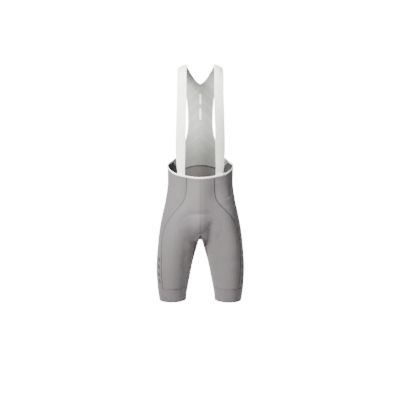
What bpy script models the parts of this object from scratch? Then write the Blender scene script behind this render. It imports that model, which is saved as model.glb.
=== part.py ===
"""Cycling bib shorts, shaped as they are worn and hollow inside.

The garment is cut and sewn from stretch panels: two fronts, two sides, two seats, a crotch
gusset, two hem bands, a mesh back, two shoulder straps and a waist tape. Every panel is a thin
wall that lies on one figure form, a smooth surface worked out from a table of level sections.
A point of the form is found by a ray from the axis of its half of the body: at a height, and at
an angle that is 0 at the front, 90 at the outer side and 180 at the back. Seams are lines in
those two numbers, so neighbours share their seam and stay a hair apart.

Metres, +Z up, front towards -Y, so the wearer's left is +X. The left half is worked out and
the right half is its mirror image. The origin is the middle of the shoulder line, where the
wearer's shoulders carry the straps.
"""

import math

import bmesh
import bpy
import numpy as np

MM = 0.001

# Walls and gaps
CLOTH = 1.2 * MM
MESH_CLOTH = 1.0 * MM
STRAP_CLOTH = 1.2 * MM
TAPE_PROUD = 0.2 * MM
TAPE_DEPTH = 1.5 * MM
SEAM_GAP = 0.3 * MM
HALF_GAP = SEAM_GAP / 2

# Heights of the driving lines, down from the shoulder line
BAND_TOP = -849 * MM
HEM = -902 * MM
FRONT_APEX = -641 * MM
BACK_APEX = -634 * MM
TAPE_HEIGHT = 5.5 * MM

# Level sections of the left half. Each row gives the height, the outermost and innermost x of
# the half's own oval, and its foremost and rearmost y. Where inner is minus outer, the oval is
# the whole torso. Below the crotch it is one leg.
SECTION_COLUMNS = ("height", "outer", "inner", "front", "back")
SECTIONS_MM = (
    (-906, 158.2, 55.6, -66, 63),
    (-877, 163.2, 52.6, -69, 66),
    (-853, 166.2, 48.8, -72, 69.5),
    (-830, 168.0, 44.9, -75, 73),
    (-806, 169.5, 40.2, -78, 77),
    (-782, 170.2, 35.2, -80.5, 81),
    (-759, 169.9, 30.1, -83, 85),
    (-735, 168.5, 24.0, -85, 89),
    (-712, 166.8, 17.6, -87, 94),
    (-688, 164.7, 10.4, -88.5, 100),
    (-665, 162.6, 3.2, -90, 108),
    (-642, 159.9, -12.5, -91.5, 116),
    (-618, 156.3, -33.5, -93.5, 121),
    (-595, 152.0, -56.5, -95.5, 122.5),
    (-572, 147.2, -80.5, -97.5, 121),
    (-548, 141.7, -103.2, -99, 118),
    (-525, 136.3, -119, -99, 113),
    (-502, 132.2, -128.5, -98, 107),
    (-479, 128.2, -128.2, -96.5, 101),
    (-456, 125.6, -125.6, -95, 96),
    (-434, 125.1, -125.1, -94.5, 92),
    (-390, 126, -126, -95.5, 89.5),
    (-340, 127.5, -127.5, -99, 86),
    (-300, 131, -131, -104, 85),
    (-250, 138, -138, -110, 89),
    (-200, 146, -146, -112, 96),
    (-160, 151, -151, -111, 99),
    (-120, 154, -154, -105, 99),
    (-90, 155, -155, -98, 96),
    (-65, 155, -155, -89, 89),
    (-47, 155, -155, -79, 79),
    (-32, 155, -155, -66.5, 66.5),
    (-19, 155, -155, -51.5, 51.5),
    (-9.5, 155, -155, -37, 37),
    (-4, 155, -155, -24, 24),
    (-1, 155, -155, -12, 12),
    (0, 155, -155, 0, 0),
)
ROUNDNESS = 2.2  # exponent of the ovals: 2 is an ellipse
CREASE_FILL = 14 * MM  # how widely the cloth bridges the hollow between the two halves
CREASE_SHARE = 0.8
FULLNESS_CENTRE = (0, -36 * MM, -606 * MM)
FULLNESS_RADII = (56 * MM, 62 * MM, 48 * MM)
FULLNESS_BLEND = 30 * MM

# The top edge of the garment, by angle: the waist tape's rim, and then the seam to the mesh
RIM_DEGREES = (0, 12, 24, 34, 45, 57, 64, 71, 80, 90, 102, 115)
RIM_MM = (-422.5, -421.7, -419.8, -416.8, -413.2, -407.6, -402.2, -395.5, -388.3, -381.5, -374.2, -366)
CORNER_TOP = 115
CORNER_LOW = 132
BACK_SEAM_DEGREES = (132, 141, 150, 160, 170, 180)
BACK_SEAM_MM = (-409.5, -401.7, -393.9, -389.4, -387.3, -386.8)

# Seam between the front and the side panel, as seen from the front: x at each height
FRONT_SEAM_MM = (
    (-849, 143.6),
    (-826, 145.6),
    (-778, 148.1),
    (-735, 148.0),
    (-688, 147.4),
    (-641, 143.0),
    (-611, 134.1),
    (-583, 120.0),
    (-561, 105.0),
    (-543, 89.0),
    (-524, 73.0),
    (-503, 61.0),
    (-474, 55.0),
    (-425, 52.5),
)
# Seam between the side and the seat panel: angle at each height
SEAT_SEAM = ((-849, 122), (-700, 124), (-600, 126), (-520, 129), (-460, 131), (-409.5, 132))
# Half the angle that the gusset spans on the inside of the leg
GUSSET_SPAN = ((-849, 6), (-806, 10), (-759, 20), (-708, 34), (-676, 42), (-656, 45))

# Mesh back, left half, from the waist seam up: inner edge and outer edge of each row. The
# lowest rows end on the seam to the side panel, which the code works out.
MESH_ROWS_MM = (
    (0, -344, 103.0, -360.5),
    (0, -328, 90.0, -350.5),
    (0, -308, 75.0, -330.0),
    (0, -284, 64.0, -302.0),
    (0, -262, 55.8, -277.0),
    (0, -240, 50.6, -252.0),
    (0, -214, 48.3, -222.0),
    (0, -186, 48.8, -190.0),
    (0, -158, 50.2, -158.0),
    (0, -130, 53.2, -129.0),
    (0, -103, 58.5, -103.0),
    (0, -84, 64.0, -86.0),
    (0, -69.5, 69.5, -71.5),
    (10.5, -62, 74.0, -59.0),
    (22.5, -49.5, 78.0, -48.5),
    (32.5, -34.5, 81.3, -39.0),
    (40.5, -22, 83.6, -31.0),
    (46.5, -12.5, 84.9, -24.5),
)
MESH_CENTRE_LOW_MM = (-374, -360, -350)

# Straps: x of the inner and outer edge at each height
STRAP_EDGES_MM = (
    (-455, 60.0, 85.0),
    (-412, 59.0, 86.4),
    (-323, 56.2, 91.8),
    (-249, 54.9, 90.3),
    (-184, 52.8, 88.0),
    (-106, 51.4, 86.0),
    (-26, 51.5, 85.8),
    (0, 51.8, 85.3),
)
STRAP_FRONT_STATIONS_MM = (
    0, -2.6, -7, -14, -24, -37, -53, -72, -94, -120, -150, -184,
    -220, -258, -296, -332, -366, -392, -408, -418, -427, -438, -450,
)
STRAP_BACK_STATIONS_MM = (-1.4,)
MESH_TOP = -4 * MM
STRAP_INSET = 2.1 * MM
STRAP_LEAVES = (-408 * MM, -375 * MM)
SHOULDER_RISE = 1.2 * MM
SHOULDER_CURVE = -12.5  # per metre: how the shoulder falls away outwards
SHOULDER_X = 50 * MM
SHOULDER_FADE = (-150 * MM, -60 * MM)

# Grid counts
PANEL_ROWS = 24
FRONT_COLUMNS = 10
SIDE_COLUMNS = 9
CORNER_COLUMNS = 2
SEAT_COLUMNS = 11
BAND_ROWS = 3
BAND_COLUMNS = 36
ROWS_BELOW_APEX = 12
GUSSET_COLUMNS = 10
STRAP_COLUMNS = 4
RAY_REACH = 0.26
BISECTIONS = 32

# Colours (red, green, blue) and roughness of the cloths
CLOTHS = {
    "lycra": ((0.36, 0.335, 0.335), 0.62),
    "mesh": ((0.66, 0.67, 0.65), 0.7),
    "elastic": ((0.80, 0.80, 0.78), 0.6),
    "tape": ((0.86, 0.85, 0.85), 0.55),
}


def smooth_curve(knots, values, at):
    """Values between the knots on a smooth curve through all of them. Knots rise."""
    knots = np.asarray(knots, float)
    values = np.asarray(values, float)
    at = np.clip(at, knots[0], knots[-1])
    slopes = np.gradient(values, knots)
    low = np.clip(np.searchsorted(knots, at) - 1, 0, len(knots) - 2)
    span = knots[low + 1] - knots[low]
    t = (at - knots[low]) / span
    return (
        values[low] * (1 + 2 * t) * (1 - t) ** 2
        + slopes[low] * span * t * (1 - t) ** 2
        + values[low + 1] * t**2 * (3 - 2 * t)
        + slopes[low + 1] * span * t**2 * (t - 1)
    )


def table_curve(rows, at):
    """A two-column table of millimetres by height, read as a smooth curve in metres."""
    heights, values = np.array(rows, float).T * MM
    return smooth_curve(heights, values, at)


def ramp(value, low, high):
    """0 below low, 1 above high, and smooth between."""
    t = np.clip((value - low) / (high - low), 0, 1)
    return t * t * (3 - 2 * t)


SECTION_DATA = {
    name: np.array(column) * MM
    for name, column in zip(SECTION_COLUMNS, zip(*SECTIONS_MM))
}


def section(name, height):
    return smooth_curve(SECTION_DATA["height"], SECTION_DATA[name], height)


def half_axis(height):
    """Centre x, centre y, half width and half depth of one half's oval."""
    outer = section("outer", height)
    inner = section("inner", height)
    front = section("front", height)
    back = section("back", height)
    half_depth = np.maximum((back - front) / 2, 0.1 * MM)
    return (outer + inner) / 2, (front + back) / 2, (outer - inner) / 2, half_depth


def blend_union(first, second, reach):
    """The lesser of two distances, with the hollow between them filled over that reach."""
    reach = np.maximum(reach, 1e-6)
    share = np.maximum(reach - np.abs(first - second), 0) / reach
    return np.minimum(first, second) - share**2 * reach / 4


def form_distance(x, y, z):
    """About how far a point is outside the figure form. It is negative inside."""
    centre_x, centre_y, half_width, half_depth = half_axis(z)
    depth_share = np.abs((y - centre_y) / half_depth) ** ROUNDNESS
    halves = []
    for side in (1, -1):
        width_share = np.abs((side * x - centre_x) / half_width) ** ROUNDNESS
        oval = (width_share + depth_share) ** (1 / ROUNDNESS)
        halves.append((oval - 1) * np.sqrt(half_width * half_depth))
    reach = np.minimum(CREASE_FILL, CREASE_SHARE * centre_x)
    body = blend_union(halves[0], halves[1], reach)
    fullness = np.sqrt(
        sum(
            ((value - middle) / radius) ** 2
            for value, middle, radius in zip((x, y, z), FULLNESS_CENTRE, FULLNESS_RADII)
        )
    )
    return blend_union(body, (fullness - 1) * min(FULLNESS_RADII), FULLNESS_BLEND)


def reach_along(start, direction):
    """How far each ray goes from inside the form before it leaves, or meets the middle plane."""
    low = np.zeros(np.broadcast(start[0], start[1], start[2], direction[0]).shape)
    to_middle = start[0] / np.maximum(-direction[0], 1e-9)
    high = low + np.where(direction[0] < -1e-9, np.minimum(to_middle, RAY_REACH), RAY_REACH)
    for _ in range(BISECTIONS):
        middle = (low + high) / 2
        place = [start[axis] + direction[axis] * middle for axis in range(3)]
        inside = form_distance(*place) < 0
        low = np.where(inside, middle, low)
        high = np.where(inside, high, middle)
    return (low + high) / 2


def skin(degrees, height):
    """Points of the form at these angles and heights, on the left half or the middle plane."""
    degrees, height = np.broadcast_arrays(
        np.asarray(degrees, float), np.asarray(height, float)
    )
    centre_x, centre_y, _, _ = half_axis(height)
    angle = np.radians(degrees)
    direction = (np.sin(angle), -np.cos(angle), np.zeros_like(angle))
    reach = reach_along((centre_x, centre_y, height), direction)
    return np.stack(
        [centre_x + direction[0] * reach, centre_y + direction[1] * reach, height], axis=-1
    )


def outward(points):
    """Unit normals of the form at its points."""
    step = 0.5 * MM
    slopes = []
    for axis in range(3):
        shift = np.zeros(3)
        shift[axis] = step
        ahead = form_distance(*np.moveaxis(points + shift, -1, 0))
        behind = form_distance(*np.moveaxis(points - shift, -1, 0))
        slopes.append(ahead - behind)
    normals = np.stack(slopes, axis=-1)
    return normals / np.linalg.norm(normals, axis=-1, keepdims=True)


def angle_from_axis(x, y, height):
    """Angle in degrees from -90 to 270 at which a place lies from its half's axis."""
    centre_x, centre_y, _, _ = half_axis(height)
    degrees = np.degrees(np.arctan2(x - centre_x, centre_y - y))
    return np.where(degrees < -90 - 1e-9, degrees + 360, degrees)


def centre_line(height, way):
    """Angle of the middle line of the front (way -1) or of the back (way 1)."""
    height = np.asarray(height, float)
    _, centre_y, _, _ = half_axis(height)
    zero = np.zeros_like(height)
    reach = reach_along((zero, centre_y, height), (zero, zero + way, zero))
    return angle_from_axis(zero, centre_y + way * reach, height)


def gusset_span(height):
    heights, degrees = np.array(GUSSET_SPAN, float).T
    return smooth_curve(heights * MM, degrees, height)


def inner_edge(height, apex, way):
    """Middle seam down to the gusset's apex, and then the gusset's own seam."""
    height = np.asarray(height, float)
    level = 90 + way * 180
    low = GUSSET_SPAN[-1][0] * MM
    span = gusset_span(np.minimum(height, low))
    seam = level - way * span
    rise = (centre_line(apex, way) - seam) * ramp(height, low, apex)
    return np.where(height >= apex, centre_line(np.maximum(height, apex), way), seam + rise)


def front_inner_edge(height):
    return inner_edge(height, FRONT_APEX, -1)


def seat_inner_edge(height):
    return inner_edge(height, BACK_APEX, 1)


def front_seam(height):
    """Angle of the seam between front and side, from its x as seen from the front."""
    height = np.asarray(height, float)
    x = table_curve(FRONT_SEAM_MM, height)
    _, centre_y, _, _ = half_axis(height)
    zero = np.zeros_like(height)
    reach = reach_along((x, centre_y, height), (zero, zero - 1, zero))
    return angle_from_axis(x, centre_y - reach, height)


def seat_seam(height):
    heights, degrees = np.array(SEAT_SEAM, float).T
    return smooth_curve(heights * MM, degrees, height)


def rim_height(degrees):
    """Top of the waist tape."""
    return smooth_curve(RIM_DEGREES, np.array(RIM_MM) * MM, degrees)


def panel_top(degrees):
    """Top edge of the stretch panels: under the tape, down the corner, then the mesh seam."""
    corner = rim_height(CORNER_TOP) - TAPE_HEIGHT
    low = BACK_SEAM_MM[0] * MM
    slant = corner + (low - corner) * (degrees - CORNER_TOP) / (CORNER_LOW - CORNER_TOP)
    back = smooth_curve(BACK_SEAM_DEGREES, np.array(BACK_SEAM_MM) * MM, degrees)
    return np.where(
        degrees <= CORNER_TOP,
        rim_height(degrees) - TAPE_HEIGHT,
        np.where(degrees <= CORNER_LOW, slant, back),
    )


def steps_below_apex():
    """Row places from 0 at the gusset's apex to 1 at the band, closer near the apex."""
    return np.linspace(0, 1, ROWS_BELOW_APEX + 1) ** 1.3


def row_shares(top, apex):
    """Row places of a panel from 0 at its top to 1 at the band, with a row on the apex."""
    share = (apex - top) / (BAND_TOP - top)
    above = np.linspace(0, share, PANEL_ROWS - ROWS_BELOW_APEX + 1)
    return np.concatenate([above, share + (1 - share) * steps_below_apex()[1:]])


def panel_grid(left, right, columns, left_rows, right_rows):
    """Points of a panel between two seams, rows down and columns from left to right."""
    across = np.asarray(columns, float)
    degrees = left(-420 * MM) + (right(-420 * MM) - left(-420 * MM)) * across
    for _ in range(5):
        top = panel_top(degrees)
        degrees = left(top) + (right(top) - left(top)) * across
    shares = left_rows[:, None] + (right_rows - left_rows)[:, None] * across
    height = top + (BAND_TOP - top) * shares
    first, last = left(height), right(height)
    return skin(first + (last - first) * across, height)


def gusset_grid():
    """Left half of the gusset: row 0 lies on the middle plane, the last at the band."""
    across = (1 - np.cos(np.linspace(0, math.pi, GUSSET_COLUMNS + 1))) / 2

    def place(height):
        first, last = seat_inner_edge(height), 360 + front_inner_edge(height)
        return skin(first + (last - first) * across, height)

    low = np.full(GUSSET_COLUMNS + 1, -700 * MM)
    high = np.full(GUSSET_COLUMNS + 1, max(FRONT_APEX, BACK_APEX))
    for _ in range(BISECTIONS):
        middle = (low + high) / 2
        below = place(middle)[..., 0] > 1e-7
        low = np.where(below, middle, low)
        high = np.where(below, high, middle)
    low[0], low[-1] = BACK_APEX, FRONT_APEX
    points = place(low + (BAND_TOP - low) * steps_below_apex()[:, None])
    points[0, :, 0] = 0
    return points


def inset(points, normals):
    """The grid with its whole border moved in by half a seam gap, along the surface."""
    rows, columns = points.shape[:2]
    loop = [(0, column) for column in range(columns - 1)]
    loop += [(row, columns - 1) for row in range(rows - 1)]
    loop += [(rows - 1, column) for column in range(columns - 1, 0, -1)]
    loop += [(row, 0) for row in range(rows - 1, 0, -1)]
    border = tuple(np.array(loop).T)
    edge = points[border]
    ahead = np.roll(edge, -1, axis=0) - edge
    ahead /= np.linalg.norm(ahead, axis=1, keepdims=True)
    inward_ahead = np.cross(ahead, normals[border])
    inward_behind = np.cross(np.roll(ahead, 1, axis=0), normals[border])
    spread = 1 + np.sum(inward_ahead * inward_behind, axis=1, keepdims=True)
    moved = points.copy()
    moved[border] += (inward_ahead + inward_behind) / spread * HALF_GAP
    return moved


def mirrored(points):
    return points * np.array([-1, 1, 1])


def wall_skins(points, normals, depth, proud=0):
    """Outer and inner points of a wall, inset at its border. Its face stands that far proud."""
    trimmed = inset(points, normals)
    return trimmed + normals * proud, trimmed - normals * depth


def material_of(cloth):
    """The cloth's material, made once."""
    found = bpy.data.materials.get(cloth)
    if found:
        return found
    colour, roughness = CLOTHS[cloth]
    material = bpy.data.materials.new(cloth)
    material.use_nodes = True
    shader = material.node_tree.nodes["Principled BSDF"]
    shader.inputs["Base Color"].default_value = (*colour, 1)
    shader.inputs["Roughness"].default_value = roughness
    shader.inputs["Metallic"].default_value = 0
    return material


def add_wall(name, outside, inside, cloth, closed=False):
    """A closed wall between two grids of points. A closed one joins its last column to its first."""
    count_rows, count_columns = outside.shape[:2]
    mesh = bpy.data.meshes.new(name)
    shape = bmesh.new()
    skins = [
        [[shape.verts.new(point) for point in row] for row in grid]
        for grid in (outside, inside)
    ]
    last = count_columns if closed else count_columns - 1
    for row in range(count_rows - 1):
        for column in range(last):
            after = (column + 1) % count_columns
            for grid in skins:
                shape.faces.new(
                    (grid[row][column], grid[row][after], grid[row + 1][after], grid[row + 1][column])
                )
    border = [
        [(row, column) for column in range(count_columns)] for row in (0, count_rows - 1)
    ]
    if closed:
        border = [line + line[:1] for line in border]
    else:
        border += [[(row, column) for row in range(count_rows)] for column in (0, count_columns - 1)]
    outer, inner = skins
    for line in border:
        for (row, column), (next_row, next_column) in zip(line, line[1:]):
            shape.faces.new(
                (
                    outer[row][column],
                    outer[next_row][next_column],
                    inner[next_row][next_column],
                    inner[row][column],
                )
            )
    bmesh.ops.recalc_face_normals(shape, faces=shape.faces)
    shape.to_mesh(mesh)
    shape.free()
    mesh.shade_smooth()
    mesh.set_sharp_from_angle(angle=math.radians(50))
    mesh.materials.append(material_of(cloth))
    piece = bpy.data.objects.new(name, mesh)
    bpy.data.collections["bib shorts"].objects.link(piece)
    return piece


def add_pair(name, skins, cloth, closed=False):
    """The left piece and its mirror image on the right."""
    add_wall(f"{name}_left", *skins, cloth, closed)
    add_wall(f"{name}_right", *map(mirrored, skins), cloth, closed)


def side_columns():
    """Column places of a side panel, with one on the corner where the tape ends."""
    seam = float(front_seam(panel_top(22.0)))
    share = (CORNER_TOP - seam) / (CORNER_LOW - seam)
    return np.concatenate(
        [np.linspace(0, share, SIDE_COLUMNS + 1), np.linspace(share, 1, CORNER_COLUMNS + 1)[1:]]
    )


def make_panels():
    front_rows = row_shares(panel_top(np.array(0.0)), FRONT_APEX)
    seat_rows = row_shares(panel_top(np.array(180.0)), BACK_APEX)
    columns = np.linspace(0, 1, FRONT_COLUMNS + 1)
    front = panel_grid(front_inner_edge, front_seam, columns, front_rows, front_rows)
    side = panel_grid(front_seam, seat_seam, side_columns(), front_rows, front_rows)
    columns = np.linspace(0, 1, SEAT_COLUMNS + 1)
    seat = panel_grid(seat_seam, seat_inner_edge, columns, front_rows, seat_rows)
    front[: PANEL_ROWS - ROWS_BELOW_APEX + 1, 0, 0] = 0
    seat[: PANEL_ROWS - ROWS_BELOW_APEX + 1, -1, 0] = 0
    for name, points in (("front", front), ("side", side), ("seat", seat)):
        add_pair(name, wall_skins(points, outward(points), CLOTH), "lycra")
    return front, side, seat


def make_gusset():
    half = gusset_grid()
    whole = np.concatenate([mirrored(half)[:0:-1], half])
    add_wall("crotch_gusset", *wall_skins(whole, outward(whole), CLOTH), "lycra")


def make_hem_bands():
    degrees = np.arange(BAND_COLUMNS) * 360 / BAND_COLUMNS
    heights = np.linspace(BAND_TOP - HALF_GAP, HEM, BAND_ROWS + 1)
    band = skin(degrees[None, :], heights[:, None])
    add_pair("hem_band", (band, band - outward(band) * CLOTH), "lycra", closed=True)


def make_waist_tape(front, side):
    """The tape stands on the top edge of the fronts and sides, on their own columns."""
    edge = np.concatenate([front[0, :-1], side[0, : SIDE_COLUMNS + 1]])
    degrees = angle_from_axis(edge[:, 0], edge[:, 1], edge[:, 2])
    half = np.stack([skin(degrees, rim_height(degrees)), edge])
    half[:, 0, 0] = 0
    whole = np.concatenate([mirrored(half)[:, :0:-1], half], axis=1)
    add_wall("waist_tape", *wall_skins(whole, outward(whole), TAPE_DEPTH, TAPE_PROUD), "tape")


def shoulder_drop(x, height):
    """How far the shoulder's slope moves a point up near the top. It is negative outwards."""
    out = np.maximum(np.abs(x) - SHOULDER_X, 0)
    return (SHOULDER_RISE + SHOULDER_CURVE * out**2) * ramp(height, *SHOULDER_FADE)


def torso_y(x, height, way):
    """The torso's front (way -1) or back (way 1) at a place, given its height before the slope."""
    flat_top = 1 - ramp(height, -120 * MM, -20 * MM)
    _, _, half_width, half_depth = half_axis(height)
    share = (1 - np.abs(x / half_width) ** ROUNDNESS) ** (1 / ROUNDNESS)
    profile = section("front" if way < 0 else "back", height)
    return profile - way * np.maximum(half_depth, 90 * MM) * (1 - share) * flat_top


def grid_normals(points):
    """Unit normals of a grid of points, from its rows and columns."""
    normals = np.cross(np.gradient(points, axis=0), np.gradient(points, axis=1))
    return normals / np.linalg.norm(normals, axis=-1, keepdims=True)


def mesh_border(seat, side):
    """x and z of the mesh's inner and outer edge, row by row from the waist seam up."""
    corner = side[0, SIDE_COLUMNS:][::-1]
    tape_end = skin(CORNER_TOP, rim_height(CORNER_TOP))
    top_in, top_out = strap_edges(MESH_TOP)
    rows = [(0, z * MM, *end[[0, 2]]) for z, end in zip(MESH_CENTRE_LOW_MM, (*corner[1:], tape_end))]
    rows += [tuple(value * MM for value in row) for row in MESH_ROWS_MM]
    rows.append(
        (
            top_in,
            MESH_TOP + shoulder_drop(top_in, MESH_TOP),
            top_out,
            MESH_TOP + shoulder_drop(top_out, MESH_TOP),
        )
    )
    return rows


def mesh_grid(seat, side):
    """Left half of the mesh back. Row 0 is the seats' top edge, and the arm ends at the strap."""
    seam = seat[0, ::-1]
    seam_share = seam[:, 0] / seam[-1, 0]
    seam_dip = (seam[:, 2] - seam[0, 2]) / (seam[-1, 2] - seam[0, 2])
    columns = np.linspace(0, 1, SEAT_COLUMNS + 1)
    rows = [seam]
    for number, (inner_x, inner_z, outer_x, outer_z) in enumerate(mesh_border(seat, side)):
        keep = 1 - ramp(number, 0, 5)
        share = keep * seam_share + (1 - keep) * columns
        dip = share if inner_x > 0 else keep * seam_dip + (1 - keep) * share**2
        x = inner_x + (outer_x - inner_x) * share
        z = inner_z + (outer_z - inner_z) * dip
        rows.append(np.stack([x, torso_y(x, z - shoulder_drop(x, z), 1), z], axis=-1))
    corner = side[0, SIDE_COLUMNS:][::-1]
    for number, point in enumerate((*corner[1:], skin(CORNER_TOP, rim_height(CORNER_TOP)))):
        rows[number + 1][-1] = point
    return np.stack(rows)


def make_mesh_back(seat, side, strap_end):
    """The mesh, whose arms end square to the straps' own end normals."""
    half = mesh_grid(seat, side)
    middle = half[:, 0, 0] == 0
    normals = grid_normals(half)
    normals[0] = outward(half[0])
    normals[-1] = strap_end.mean(axis=0)
    normals[: len(MESH_CENTRE_LOW_MM) + 1, -1] = outward(half[: len(MESH_CENTRE_LOW_MM) + 1, -1])
    normals[middle, 0, 0] = 0
    normals /= np.linalg.norm(normals, axis=-1, keepdims=True)
    skins = wall_skins(half, normals, MESH_CLOTH)
    for points in skins:
        points[middle, 0, 0] = 0
    piece = add_wall("mesh_back", *skins, "mesh")
    close_on_mirror(piece, skins[0][middle, 0, 2].max())


def close_on_mirror(piece, top):
    """Opens the wall on the middle plane, up to that height, and mirrors it into one body."""
    shape = bmesh.new()
    shape.from_mesh(piece.data)
    on_plane = [
        face
        for face in shape.faces
        if all(abs(vert.co.x) < 1e-7 and vert.co.z < top + 1e-6 for vert in face.verts)
    ]
    bmesh.ops.delete(shape, geom=on_plane, context="FACES_ONLY")
    shape.to_mesh(piece.data)
    shape.free()
    mirror = piece.modifiers.new("other half", "MIRROR")
    mirror.use_axis = (True, False, False)
    mirror.merge_threshold = 1e-6


def strap_edges(height):
    """x of the strap's inner and outer edge."""
    heights, inner, outer = np.array(STRAP_EDGES_MM, float).T * MM
    return smooth_curve(heights, inner, height), smooth_curve(heights, outer, height)


def make_straps():
    """Each strap leaves the mesh behind the shoulder, and runs down the chest into the waist."""
    stations = [(MESH_TOP, 1)]
    stations += [(height * MM, 1) for height in STRAP_BACK_STATIONS_MM]
    stations += [(height * MM, -1) for height in STRAP_FRONT_STATIONS_MM]
    rows = []
    for height, way in stations:
        inner_x, outer_x = strap_edges(height)
        x = inner_x + (outer_x - inner_x) * np.linspace(0, 1, STRAP_COLUMNS + 1)
        y = torso_y(x, height, way)
        rows.append(np.stack([x, y, height + shoulder_drop(x, height)], axis=-1))
    strap = np.stack(rows)
    tail = strap[:, :1, 2:] < STRAP_LEAVES[1]
    tucked = STRAP_INSET * (1 - ramp(strap[..., 2:], *STRAP_LEAVES))
    strap = np.where(tail, strap - outward(strap) * tucked, strap)
    normals = grid_normals(strap)
    joint = normals[0].mean(axis=0)
    normals[0] = joint / np.linalg.norm(joint)
    add_pair("strap", wall_skins(strap, normals, STRAP_CLOTH), "elastic")
    return normals[0]


def main():
    for old in list(bpy.data.objects):
        bpy.data.objects.remove(old)
    collection = bpy.data.collections.new("bib shorts")
    bpy.context.scene.collection.children.link(collection)
    front, side, seat = make_panels()
    make_gusset()
    make_hem_bands()
    make_waist_tape(front, side)
    strap_end = make_straps()
    make_mesh_back(seat, side, strap_end)


if __name__ == "__main__":
    main()
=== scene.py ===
"""Cycling bib shorts in cloth: knit panels, hem bands, a net back, straps and a waist tape."""

import logging
import math
from dataclasses import dataclass, field
from enum import Enum
from typing import Callable, Iterable, Sequence

import bmesh
import bpy
import numpy as np
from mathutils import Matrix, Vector


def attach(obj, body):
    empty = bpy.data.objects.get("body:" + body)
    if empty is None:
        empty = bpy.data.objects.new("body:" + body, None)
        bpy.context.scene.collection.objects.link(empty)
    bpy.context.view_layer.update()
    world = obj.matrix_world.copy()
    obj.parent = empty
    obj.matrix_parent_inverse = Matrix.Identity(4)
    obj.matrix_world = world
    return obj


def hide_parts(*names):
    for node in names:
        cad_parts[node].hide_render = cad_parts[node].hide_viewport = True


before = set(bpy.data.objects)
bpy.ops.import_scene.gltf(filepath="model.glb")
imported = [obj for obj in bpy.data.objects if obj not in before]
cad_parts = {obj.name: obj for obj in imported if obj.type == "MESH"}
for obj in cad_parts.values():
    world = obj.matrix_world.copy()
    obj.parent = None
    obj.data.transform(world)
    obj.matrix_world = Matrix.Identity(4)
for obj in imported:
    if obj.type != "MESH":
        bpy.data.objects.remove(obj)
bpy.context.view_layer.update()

MM = 0.001
LOG = logging.getLogger("bib shorts")

Grid = np.ndarray
Numbers = np.ndarray | float


class Side(Enum):
    """The wearer's sides, as the sign of x."""

    LEFT = 1
    RIGHT = -1


class Hold(Enum):
    """How a sheet of cloth is held."""

    STRETCHED = "stretched"


class Given(Enum):
    """How the ends of a crease are placed: by an angle round the figure, or by x on its front."""

    ANGLE = "angle"
    FRONT_X = "x"


class Slot(Enum):
    """The record's material slots."""

    LYCRA = "lycra"
    MESH = "mesh"
    ELASTIC = "elastic"
    TAPE = "tape"


def smooth_curve(knots: Sequence[float], values: Sequence[float], at: Numbers) -> np.ndarray:
    """Reads a smooth curve through a table.

    Args:
        knots: The table's places, rising.
        values: The value at each place.
        at: Where to read the curve.

    Returns:
        The curve's values there.
    """
    knots = np.asarray(knots, float)
    values = np.asarray(values, float)
    at = np.clip(at, knots[0], knots[-1])
    slopes = np.gradient(values, knots)
    low = np.clip(np.searchsorted(knots, at) - 1, 0, len(knots) - 2)
    span = knots[low + 1] - knots[low]
    t = (at - knots[low]) / span
    return (
        values[low] * (1 + 2 * t) * (1 - t) ** 2
        + slopes[low] * span * t * (1 - t) ** 2
        + values[low + 1] * t**2 * (3 - 2 * t)
        + slopes[low + 1] * span * t**2 * (t - 1)
    )


def ramp(value: Numbers, low: float, high: float) -> np.ndarray:
    """Rises smoothly from 0 at low to 1 at high."""
    t = np.clip((value - low) / (high - low), 0, 1)
    return t * t * (3 - 2 * t)


def unit(vectors: Grid) -> Grid:
    """The same directions, one long."""
    return vectors / np.maximum(np.linalg.norm(vectors, axis=-1, keepdims=True), 1e-12)


def mirrored(points: Grid) -> Grid:
    """The same points on the other side of the middle plane."""
    return points * np.array([-1.0, 1.0, 1.0])


def run_along(points: Grid, axis: int = 0) -> Grid:
    """Follows a line or a grid of points along one of its axes.

    Args:
        points: The points.
        axis: The axis to follow.

    Returns:
        The length of the way up to each point.
    """
    gaps = np.linalg.norm(np.diff(points, axis=axis), axis=-1)
    start = np.zeros_like(np.take(gaps, [0], axis))
    return np.concatenate([start, np.cumsum(gaps, axis=axis)], axis=axis)


def toward(azimuth: float, elevation: float) -> Vector:
    """Points to a place round the garment.

    Args:
        azimuth: Degrees round from the front, to the wearer's left.
        elevation: Degrees up.

    Returns:
        The way there, one long.
    """
    turn, rise = math.radians(azimuth), math.radians(elevation)
    level = math.cos(rise)
    return Vector((math.sin(turn) * level, -math.cos(turn) * level, math.sin(rise)))


def add_object(name: str, data: bpy.types.ID) -> bpy.types.Object:
    """Puts a mesh or a curve into the scene, alone selected.

    Args:
        name: The object's name.
        data: Its mesh or curve.

    Returns:
        The object, at the origin.
    """
    piece = bpy.data.objects.new(name, data)
    bpy.context.scene.collection.objects.link(piece)
    bpy.ops.object.select_all(action="DESELECT")
    piece.select_set(True)
    bpy.context.view_layer.objects.active = piece
    return piece


def mesh_with_uv(name: str, points: Grid, faces: list[list[int]], uv: Grid) -> bpy.types.Mesh:
    """Makes a mesh whose UV map gives each point its place on the flat cloth.

    Args:
        name: The mesh's name.
        points: Its points.
        faces: The points of each face.
        uv: Metres across and along at each point.

    Returns:
        The mesh.
    """
    mesh = bpy.data.meshes.new(name)
    mesh.from_pydata(points.reshape(-1, 3).tolist(), [], faces)
    corners = np.zeros(len(mesh.loops), np.int32)
    mesh.loops.foreach_get("vertex_index", corners)
    mesh.uv_layers.new(name="UVMap").data.foreach_set("uv", uv[corners].ravel())
    return mesh


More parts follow.
